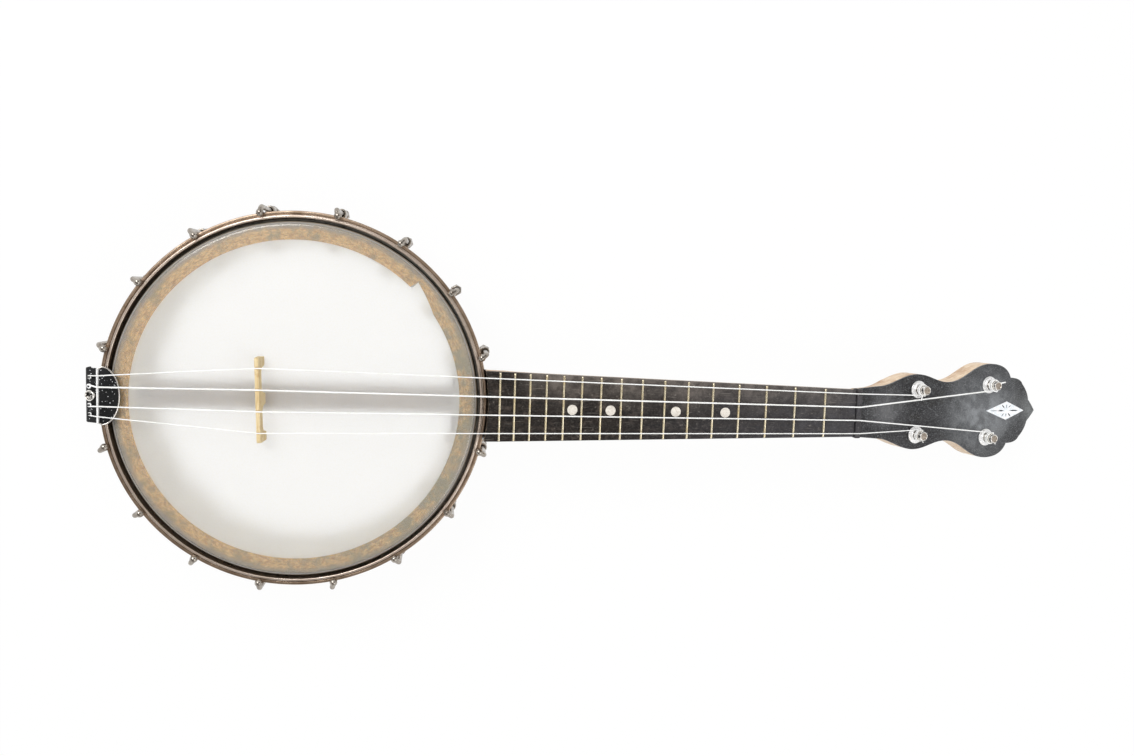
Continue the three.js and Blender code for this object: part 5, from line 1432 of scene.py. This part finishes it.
    def button(self, top: float) -> list[np.ndarray]:
        """One button: a waisted oval paddle with a full rounded rim, hung under the peg's collar."""
        half, bottom = self.button_half, top - self.button_length
        neck, waist = ((-wide, top - down) for wide, down in (self.button_neck, self.button_waist))
        shoulder, widest = (-half, top - self.button_shoulder), (-half, top - self.button_widest)
        one_side = np.concatenate([
            curve(neck, waist, shoulder, widest, steps=12),
            curve(widest, (-half, bottom), (-half / 2, bottom), (0, bottom), steps=12),
        ])
        outline = np.concatenate([one_side, [[0, bottom]], one_side[::-1] * [-1, 1]])
        upright = Matrix.Rotation(QUARTER_TURN, 4, "X")
        thick = self.button_half_thick
        return [moved(part, upright) for part in slab(outline, -thick, thick, self.button_edge, steps=6)]


@dataclass
class Tail:
    """The tailpiece with its strap, screw and bolt.

    The tables pin, screw_shank, screw_lip, bolt_shank and bolt_dome are turned profiles, each row a radius
    and a height. The rows of screw_lip are the controls of one curve.
    """

    finishes: Finishes
    pot: Pot
    side: float = 1.7
    ridge_out: float = 2.3
    ridge_rise: float = 6.0
    ridge_height: float = 1.3
    ridge_bar: Table = ((-0.6, 0), (-0.6, 1.0), (-0.3, 1.7), (0.3, 1.7), (0.6, 1.0), (0.6, 0))
    ridge_base: float = 0.2
    sheet: float = 1.2
    apron: float = 11.0
    apron_half: float = 16.2
    apron_fall: float = 1.6
    shoulder: float = 2.0
    lip_radius: float = 0.38
    lip_inset: float = 0.35
    lip_short: float = 0.3
    lip_proud: float = 0.05
    rear: float = 7.4
    rear_half: float = 15.2
    rear_fall: float = 4.0
    flange: float = 6.0
    fold: float = 1.6
    least_step: float = 0.2
    pins: tuple[float, ...] = (10.2, 5.2, -5.2, -10.2)
    pin: Table = ((0, 0), (0.38, 0), (0.38, 2.0), (0.55, 2.2), (0.55, 2.5), (0.4, 2.7), (0, 2.75))
    pin_sunk: float = 0.1
    strap: float = 1.5
    strap_half: float = 6.5
    strap_start: float = 0.3
    strap_foot: float = 17.0
    strap_bend: float = 1.4
    strap_slope: float = 0.6
    screw_shank: Table = ((0, -3.6), (1.5, -3.6))
    screw_lip: Table = ((3.2, 0.5), (3.2, 1.7), (2.5, 1.8), (2.3, 1.0))
    well_rise: float = 0.3
    cross_half: float = 0.42
    cross_arm: float = 1.7
    cross_depth: float = 0.8
    cross_slopes: tuple[float, float] = (0.12, 0.2)
    bolt_level: float = 26.0
    bolt_shank: Table = ((0, 36), (2.5, 36), (2.5, 0))
    bolt_dome: Table = ((5, 0), (5, -1.3), (4.4, -2.4), (3, -3.5), (1.2, -4), (0, -4))

    @property
    def ridge_x(self) -> float:
        """The ridge's place along X."""
        return -self.pot.hoop_inner - self.ridge_out

    @property
    def ridge_top(self) -> float:
        """The level of the ridge's crest."""
        return self.pot.head_top + self.ridge_rise

    @property
    def plate_level(self) -> float:
        """The level of the sheet's middle under the ridge."""
        return self.ridge_top - self.ridge_height - self.sheet / 2

    @property
    def rear_matrix(self) -> Matrix:
        """A frame whose Z stands square on the sloping rear plate, at its middle."""
        spot = (self.ridge_x - self.rear / 2, self.side, self.plate_level - self.rear_fall / 2)
        return Matrix.Translation(spot) @ Matrix.Rotation(-math.atan2(self.rear_fall, self.rear), 4, "Y")

    @staticmethod
    def bent_sheet(line: np.ndarray, half: np.ndarray, thickness: float, side: float) -> np.ndarray:
        """Carries a flat, round-edged section along a line in X and Z.

        Each point lies at line + n normal, n being +-thickness / 2 on the flats, and a half circle per edge.

        Args:
            line: (n, 2) places along X and Z of the sheet's middle.
            half: the section's half width at each place.
            thickness: the sheet's thickness.
            side: the middle's place along Y.

        Returns:
            One grid, closed at both ends.
        """
        heading = unit(np.gradient(line, axis=0))
        normal = points(-heading[:, 1], heading[:, 0])
        turn = np.linspace(-QUARTER_TURN, QUARTER_TURN, 7)
        reach = np.maximum(half - thickness / 2, 0)[:, None]
        grow = np.minimum(half / (thickness / 2), 1)[:, None]
        right = points(reach + np.cos(turn) * thickness / 2 * grow, np.sin(turn) * thickness / 2 * grow)
        section = np.concatenate([right, right[:, ::-1] * [-1, 1], right[:, :1]], axis=1)
        at = line[:, None] + section[..., 1:] * normal[:, None]
        grid = points(at[..., 0], side + section[..., 0], at[..., 1])
        middle = points(line[:, 0], side, line[:, 1])
        ends = [np.repeat(middle[i, None, None], grid.shape[1], axis=1) for i in (0, -1)]
        return np.concatenate([ends[0], grid, ends[1]])

    def plate(self) -> None:
        """Makes the bent plate, the bright lip round its apron, the ridge bar, and the four pins."""
        level, x = self.plate_level, self.ridge_x
        tip, rear_end = [x + self.apron, level - self.apron_fall], [x - self.rear, level - self.rear_fall]
        foot = [rear_end[0], rear_end[1] - self.flange]
        folded = softened(np.array([tip, [x, level], rear_end, foot]), self.fold, steps=6, closed=False)
        # The apron is an ellipse past its shoulder, so its stations close up towards the tip
        length = self.apron - self.shoulder
        cuts = tip[0] - length * (1 - np.cos(np.linspace(0, QUARTER_TURN, 17)))
        flat = points(cuts, level - self.apron_fall * (cuts - x) / self.apron)
        line = np.concatenate([flat, folded[folded[:, 0] < cuts[-1] - self.least_step]])
        past = np.clip((line[:, 0] - (x + self.shoulder)) / length, 0, 1)
        share = np.clip((line[:, 0] - x) / self.shoulder, 0, 1)
        straight = self.rear_half + (self.apron_half - self.rear_half) * share
        half = np.where(past > 0, self.apron_half * np.sqrt(1 - past**2), straight)
        plate = Piece("tailpiece_plate", "bright_nickel")
        plate.add(self.finishes.japanned, self.bent_sheet(line, half, self.sheet, self.side))
        plate.add(self.finishes.bright_nickel, self.lip())
        bar = ring_profile(self.ridge_bar, radius=0.3, steps=3)
        ends = (np.array([-self.rear_half, self.rear_half]) + self.side)[:, None]
        ridge = points(x + bar[:, 0], ends, level + self.ridge_base + bar[:, 1])
        plate.add(self.finishes.ridge_nickel, ridge, ridge[:1, :-1], ridge[-1:, :-1])
        for y in self.pins:
            spot = self.rear_matrix @ Matrix.Translation((0, y, self.sheet / 2 - self.pin_sunk))
            plate.add(self.finishes.japanned, moved(lathe(np.array(self.pin), segments=16), spot))
        plate.finish("tailpiece")

    def lip(self) -> np.ndarray:
        """The bright wire on the apron's rim: half an ellipse, run on to the ridge at both ends."""
        turn = np.linspace(-QUARTER_TURN, QUARTER_TURN, 41)
        x = self.ridge_x + self.shoulder + (self.apron - self.shoulder - self.lip_inset) * np.cos(turn)
        y = (self.apron_half - self.lip_inset) * np.sin(turn)
        end = self.rear_half - self.lip_short
        x = np.concatenate([[self.ridge_x], x, [self.ridge_x]])
        y = np.concatenate([[-end], y, [end]])
        z = self.plate_level - self.apron_fall * (x - self.ridge_x) / self.apron + self.sheet / 2
        return tube(points(x, y + self.side, z + self.lip_proud), self.lip_radius, sides=10)

    def mounting(self) -> None:
        """Makes the strap under the plate and down the rim, the dome-headed screw, and the end bolt."""
        gap, level = self.pot.clearance, self.plate_level
        drop = self.sheet / 2 + gap + self.strap / 2
        start = np.array([self.ridge_x, level])
        end = np.array([self.ridge_x - self.rear, level - self.rear_fall])
        along = unit(end - start)
        top = start + along * self.rear * self.strap_start - np.array([along[1], -along[0]]) * drop
        down = end[0] + drop
        corner = [down, top[1] + (down - top[0]) * along[1] / along[0]]
        # The strap runs down outside the hoops, and steps in to the rim under them
        rim_side = -self.pot.rim_outer - gap - self.strap / 2
        step = self.pot.flesh_foot
        knee, jog = [down, step + 1.0], [rim_side, step - (rim_side - down) * self.strap_slope]
        corners = np.array([top, corner, knee, jog, [rim_side, self.strap_foot]])
        line = softened(corners, self.strap_bend, steps=5, closed=False)
        half = np.full(len(line), self.strap_half)
        strap = Piece("tailpiece_strap", "bright_nickel")
        strap.add(self.finishes.hook_nickel, self.bent_sheet(line, half, self.strap, self.side))
        strap.finish("tailpiece_hanger")
        self.screw()
        seat = -self.pot.rim_outer - 2 * gap - self.strap
        bolt = Piece("end_bolt_turned", "bright_nickel")
        bolt.add(self.finishes.hook_nickel, lathe(np.array(self.bolt_shank + self.bolt_dome), segments=32))
        bolt.place(Matrix.Translation((seat, 0, self.bolt_level)) @ Z_ONTO_X).finish("end_bolt")

    def screw(self) -> None:
        """Turns the screw: its shank and rolled rim, and a domed well with a sunken cross."""
        base = self.sheet / 2 + self.pot.clearance
        controls = np.array(self.screw_lip) + [0, base]
        wide, (well, floor) = controls[0, 0], controls[-1]
        shank = np.array([*self.screw_shank, [self.screw_shank[-1][0], base], [wide, base], controls[0]])
        lip = np.concatenate([curve(*controls, steps=20), controls[-1:]])
        out = np.linspace(well, 0, 40)
        dome = lathe(points(out, floor + self.well_rise * (1 - (out / well) ** 2)), segments=96)
        # A point is in the cross where its nearer coordinate is within an arm's half width, and its further
        # one within an arm's length
        near, far = np.moveaxis(np.sort(np.abs(dome[..., :2]), axis=-1), -1, 0)
        side, end = self.cross_slopes
        in_arm = np.clip((self.cross_half - near) / side, 0, 1) * np.clip((self.cross_arm - far) / end, 0, 1)
        dome[..., 2] -= self.cross_depth * in_arm
        screw = Piece("tailpiece_screw_dome", "bright_nickel")
        screw.add(self.finishes.bright_nickel, lathe(shank, segments=96), lathe(lip, segments=96))
        screw.add(self.finishes.screw_well, dome).place(self.rear_matrix).finish("tailpiece_screw")


@dataclass
class Strings:
    """The bridge and the four nylon strings on their whole route.

    Rows of tuck hold how far past its turns a string has come, in degrees, and how many gauges it stands out
    there. Rows of cut_ends hold the direction of each cut end in degrees, its length and its rise.
    """

    finishes: Finishes
    neck: Neck
    head: Headstock
    tail: Tail
    bridge_x: float = -19.5
    skew: float = 1.9
    length: float = 47.4
    thin: float = 2.1
    thick: float = 3.7
    web: float = 6.6
    middle_foot: float = 3.0
    end_foot: float = 5.0
    flares: tuple[float, float] = (1.0, 3.0)
    arch_corner: float = 2.0
    crest_corner: float = 1.0
    bite: float = 0.15
    notch: tuple[float, float] = (0.75, 0.3)
    notch_depth: float = 0.75
    spacing_nut: float = 8.1
    spacing_bridge: float = 12.0
    lift: float = 6.45
    ridge_sides: tuple[float, ...] = (11.2, 5.0, -5.6, -11.2)
    ridge_gap: float = 0.25
    over_nut: tuple[float, float] = (0.0, 2.1)
    nut_bite: float = 0.1
    gauges: tuple[float, ...] = (0.66, 0.9, 0.76, 0.62)
    coil_rise: float = 0.5
    coil_gap: float = 0.5
    coil_turns: int = 2
    coil_steps: int = 48
    tuck: Table = ((8, 0.25), (16, 0.45), (23, 0.4), (23, -0.3), (23, -0.9))
    loop_gap: float = 0.05
    loop_turns: float = 1.5
    loop_pitch: float = 1.05
    cut_from: float = 0.5
    cut_ends: Table = ((-109.0, 3.9, 0.3), (29.0, 2.6, 0.9), (-60.0, 1.2, 0.2), (-75.0, 1.4, 0.2))

    @property
    def order(self) -> np.ndarray:
        """The strings' places across, in spacings from the middle one of them."""
        count = len(self.gauges)
        return (count - 1) / 2 - np.arange(count)

    @property
    def nut_sides(self) -> np.ndarray:
        """The strings' places across the nut."""
        return self.spacing_nut * self.order

    @property
    def bridge_sides(self) -> np.ndarray:
        """The strings' places across the bridge, from its own middle."""
        return self.spacing_bridge * self.order

    @property
    def bridge_level(self) -> float:
        """The strings' level over the bridge."""
        return self.neck.top + self.lift

    def bridge(self) -> None:
        """Makes the bridge: a sawn face with three feet and four notches, thinned from foot to crest."""
        foot = self.neck.pot.head_top + self.neck.pot.clearance
        top = self.bridge_level - self.gauges[1] / 2 + self.bite
        half, arch = self.length / 2, top - self.web
        middle, end, spring = self.middle_foot, half - self.end_foot, arch - self.arch_corner
        flare, wide_flare = self.flares
        right = [[middle, foot], [middle + flare, spring], [middle + wide_flare, arch]]
        right += [[end - wide_flare, arch], [end - flare, spring], [end, foot], [half, foot]]
        right += [[half, top - self.crest_corner], [half - self.crest_corner, top]]
        mouth, floor = self.notch
        for side in self.bridge_sides[:2]:
            right += [[side + mouth, top], [side + floor, top - self.notch_depth]]
            right += [[side - floor, top - self.notch_depth], [side - mouth, top]]
        left = [[-x, z] for x, z in right[::-1]]
        outline = softened(np.array(right + left, float), radius=0.9, steps=4)
        parts = []
        for grid in slab(outline, -1.0, 1.0, edge=0.12, steps=3):
            width = (self.thick + (self.thin - self.thick) * (grid[..., 1] - foot) / (top - foot)) / 2
            parts.append(points(grid[..., 2] * width, grid[..., 0], grid[..., 1]))
        turned = Matrix.Rotation(math.radians(self.skew), 4, "Z")
        bridge = Piece("bridge_sawn", "bridge_wood", Body.BRIDGE.value, sharp=30)
        bridge.add(self.finishes.bridge_maple, *parts)
        bridge.place(Matrix.Translation((self.bridge_x, self.tail.side, 0)) @ turned).finish("bridge")

    def coil_foot(self, gauge: float) -> float:
        """The level above the head's face at which the turns on a post begin."""
        return self.head.bushing_top + self.coil_rise + gauge / 2

    def coil(self, gauge: float, hand: int) -> np.ndarray:
        """The turns on a post: x = r sin a, y = -hand r cos a, up by a pitch a turn, then in to its hole.

        Args:
            gauge: the string's diameter.
            hand: which way round it is wound, 1 or -1.

        Returns:
            (n, 3) points about the post.
        """
        radius, pitch = self.head.post + self.neck.pot.clearance + gauge / 2, gauge + self.coil_gap
        turn = np.linspace(0, FULL_TURN * self.coil_turns, self.coil_steps * self.coil_turns + 1)
        rise = self.coil_foot(gauge) + pitch * turn / FULL_TURN
        degrees, shares = np.array(self.tuck).T
        tuck_turn, tuck = FULL_TURN * self.coil_turns + np.radians(degrees), radius + gauge * shares
        turn = np.concatenate([turn, tuck_turn])
        reach = np.concatenate([np.full(len(rise), radius), tuck])
        rise = np.concatenate([rise, np.full(len(tuck), rise[-1])])
        return points(reach * np.sin(turn), -hand * reach * np.cos(turn), rise)

    def loop(self, gauge: float, pin: float) -> np.ndarray:
        """The tied loop round a pin: a turn and a half that climbs by a gauge, ending towards the ridge.

        Args:
            gauge: the string's diameter.
            pin: the pin's place across the tailpiece.

        Returns:
            (n, 3) points.
        """
        radius = self.tail.pin[1][0] + self.loop_gap + gauge / 2
        turn = np.linspace(-FULL_TURN * self.loop_turns, 0, 55)
        foot = self.tail.sheet / 2 + self.ridge_gap + gauge / 2
        height = foot + gauge * self.loop_pitch * (turn / FULL_TURN + self.loop_turns)
        across = pin + math.copysign(1, pin) * radius * np.cos(turn)
        return moved(points(radius * np.sin(turn), across, height), self.tail.rear_matrix)

    def string(self, i: int) -> None:
        """One string, from its loop over ridge, bridge and nut to the turns on its post, and its cut end."""
        gauge, tail, neck = self.gauges[i], self.tail, self.neck
        at, side = self.head.seats[i]
        spot = self.head.matrix @ Matrix.Translation((at, side, 0))
        ridge = [tail.ridge_x, tail.side + self.ridge_sides[i], tail.ridge_top + self.ridge_gap + gauge / 2]
        saddle = [self.bridge_x, tail.side + self.bridge_sides[i], self.bridge_level]
        level = neck.top + neck.nut_rise - self.nut_bite + gauge / 2
        nut = [[neck.nut_x + x, self.nut_sides[i], level] for x in self.over_nut]
        coil = moved(self.coil(gauge, int(math.copysign(1, side))), spot)
        path = np.concatenate([self.loop(gauge, tail.pins[i]), [ridge, saddle, *nut], coil])
        # No stretch of the string runs along this direction, which is nearly upright
        up = (-0.15, 0.02, 0.99)
        line = Piece(f"nylon_string_{i + 1}", "nylon", sharp=60)
        line.add(self.finishes.nylon, tube(path, gauge / 2, sides=12, up=up)).finish(f"string_{i + 1}")
        degrees, length, lift = self.cut_ends[i]
        angle = math.radians(degrees)
        out = np.linspace(self.cut_from, self.head.post + length, 9)
        coil_top = self.coil_foot(gauge) + self.coil_turns * (gauge + self.coil_gap)
        rise = coil_top + lift * ((out - self.cut_from) / length) ** 2
        cut_end = moved(points(out * math.cos(angle), out * math.sin(angle), rise), spot)
        end = Piece(f"string_end_{i + 1}", "nylon", Body.TUNER.value.format(i + 1), sharp=60)
        end.add(self.finishes.nylon, tube(cut_end, gauge / 2, sides=12, up=up)).finish()

    def build(self) -> None:
        """Builds the bridge and the strings."""
        self.bridge()
        for i in range(len(self.gauges)):
            self.string(i)


@dataclass
class Studio:
    """A pale floor, soft light from above, and the camera where the photograph's stood.

    The camera's place is in mm from the pot's centre, and the rest in metres. Rows of sky hold a height,
    from level to straight up, and the colour that polished pieces mirror there. Rows of lamps hold a name,
    a place, a size and a power.
    """

    camera_at: tuple[float, float, float] = (79.588, 66.864, 590.174)
    camera_turn: tuple[float, float, float] = (0.0927001, 0.1368313, -0.0226186)
    lens: float = 29.342
    sensor: float = 36.0
    nearest: float = 0.01
    world_light: float = 0.68
    floor_white: float = 0.95
    floor_half: float = 4.0
    floor_level: float = -0.0006
    white: str = "#FFFFFF"
    floor_tone: str = "#F6F6F4"
    sky: tuple[tuple[float, str], ...] = (
        (0.0, "#FFFFFF"),
        (0.4, "#FFFFFF"),
        (0.6, "#8A8683"),
        (0.78, "#54504D"),
        (0.92, "#A8A39E"),
        (1.0, "#BBB6B1"),
    )
    lamps: tuple = (("key", (-0.6, 0.7, 1.1), 0.7, 9.0), ("fill", (0.7, -0.5, 1.2), 0.9, 5.0))

    def camera(self) -> None:
        """Sets the camera: the transpose of Rz Ry Rx turns the camera's axes to the frame's."""
        rx, ry, rz = self.camera_turn
        to_camera = Matrix.Rotation(rz, 3, "Z") @ Matrix.Rotation(ry, 3, "Y") @ Matrix.Rotation(rx, 3, "X")
        data = bpy.data.cameras.new("camera")
        data.lens, data.sensor_width, data.clip_start = self.lens, self.sensor, self.nearest
        eye = bpy.data.objects.new("camera", data)
        at = np.array(self.camera_at) * MM + POT_CENTRE
        eye.matrix_world = Matrix.Translation(at) @ to_camera.transposed().to_4x4()
        bpy.context.scene.collection.objects.link(eye)
        bpy.context.scene.camera = eye

    def floor(self) -> None:
        """Lays the floor: white to the eye, in mirrors and through film, less a share for its shadows."""
        material, tree = blank("pale_floor")
        rays = add(tree, "LightPath").outputs
        seen = add(tree, "Math", {0: rays["Is Camera Ray"], 1: rays["Is Glossy Ray"]}, operation="MAXIMUM")
        any_seen = add(tree, "Math", {0: seen, 1: rays["Is Transmission Ray"]}, operation="MAXIMUM")
        share = add(tree, "Math", {0: any_seen, 1: self.floor_white}, operation="MULTIPLY")
        matt = add(tree, "BsdfDiffuse", {"Color": linear(self.floor_tone)})
        glow = add(tree, "Emission", {"Color": linear(self.white), "Strength": 1.0})
        add(tree, "OutputMaterial", {"Surface": add(tree, "MixShader", {0: share, 1: matt, 2: glow})})
        mesh = bpy.data.meshes.new("floor")
        corners = points(*oblong(self.floor_half, self.floor_half).T, self.floor_level)
        mesh.from_pydata(corners.tolist(), [], [(0, 1, 2, 3)])
        mesh.materials.append(material)
        floor = bpy.data.objects.new("floor", mesh)
        bpy.context.scene.collection.objects.link(floor)

    def light(self) -> None:
        """Lights the room: an even white sky, greyer high up for what is polished, and two lamps above."""
        world = bpy.data.worlds.new("studio")
        bpy.context.scene.world = world
        world.use_nodes = True
        tree = world.node_tree
        tree.nodes.clear()
        rays = add(tree, "LightPath").outputs
        height = add(tree, "SeparateXYZ", {0: add(tree, "TexCoord").outputs["Generated"]}).outputs["Z"]
        sky = add(tree, "ValToRGB", {"Fac": height}, self.sky)
        tones = ((linear(self.white), self.world_light), (sky, 1.0), (linear(self.white), 1.0))
        even, mirrored, white = (
            add(tree, "Background", {"Color": colour, "Strength": strength}) for colour, strength in tones
        )
        lit = add(tree, "MixShader", {0: rays["Is Glossy Ray"], 1: even, 2: mirrored})
        both = add(tree, "MixShader", {0: rays["Is Camera Ray"], 1: lit, 2: white})
        add(tree, "OutputWorld", {"Surface": both})
        for name, at, size, power in self.lamps:
            lamp = bpy.data.lights.new(name, "AREA")
            lamp.size, lamp.energy = size, power
            hung = bpy.data.objects.new(name, lamp)
            hung.location = at
            hung.rotation_euler = (-Vector(at)).to_track_quat("-Z", "Y").to_euler()
            bpy.context.scene.collection.objects.link(hung)

    def build(self) -> None:
        """Sets the camera, the floor, the light and the plain view transform."""
        self.camera()
        self.floor()
        self.light()
        bpy.context.scene.view_settings.view_transform = "Standard"


def main() -> None:
    """Builds the whole scene."""
    logging.basicConfig(level=logging.INFO, format="%(message)s")
    Studio().build()
    finishes = Finishes()
    pot = Pot(finishes)
    neck = Neck(finishes, pot)
    head = Headstock(finishes, neck)
    tail = Tail(finishes, pot)
    strings = Strings(finishes, neck, head, tail)
    pot.build()
    head.body()
    neck.fretboard()
    neck.string_nut(strings.nut_sides, np.array(strings.gauges))
    neck.dowel()
    head.tuners()
    tail.plate()
    tail.mounting()
    strings.build()


if __name__ == "__main__":
    main()
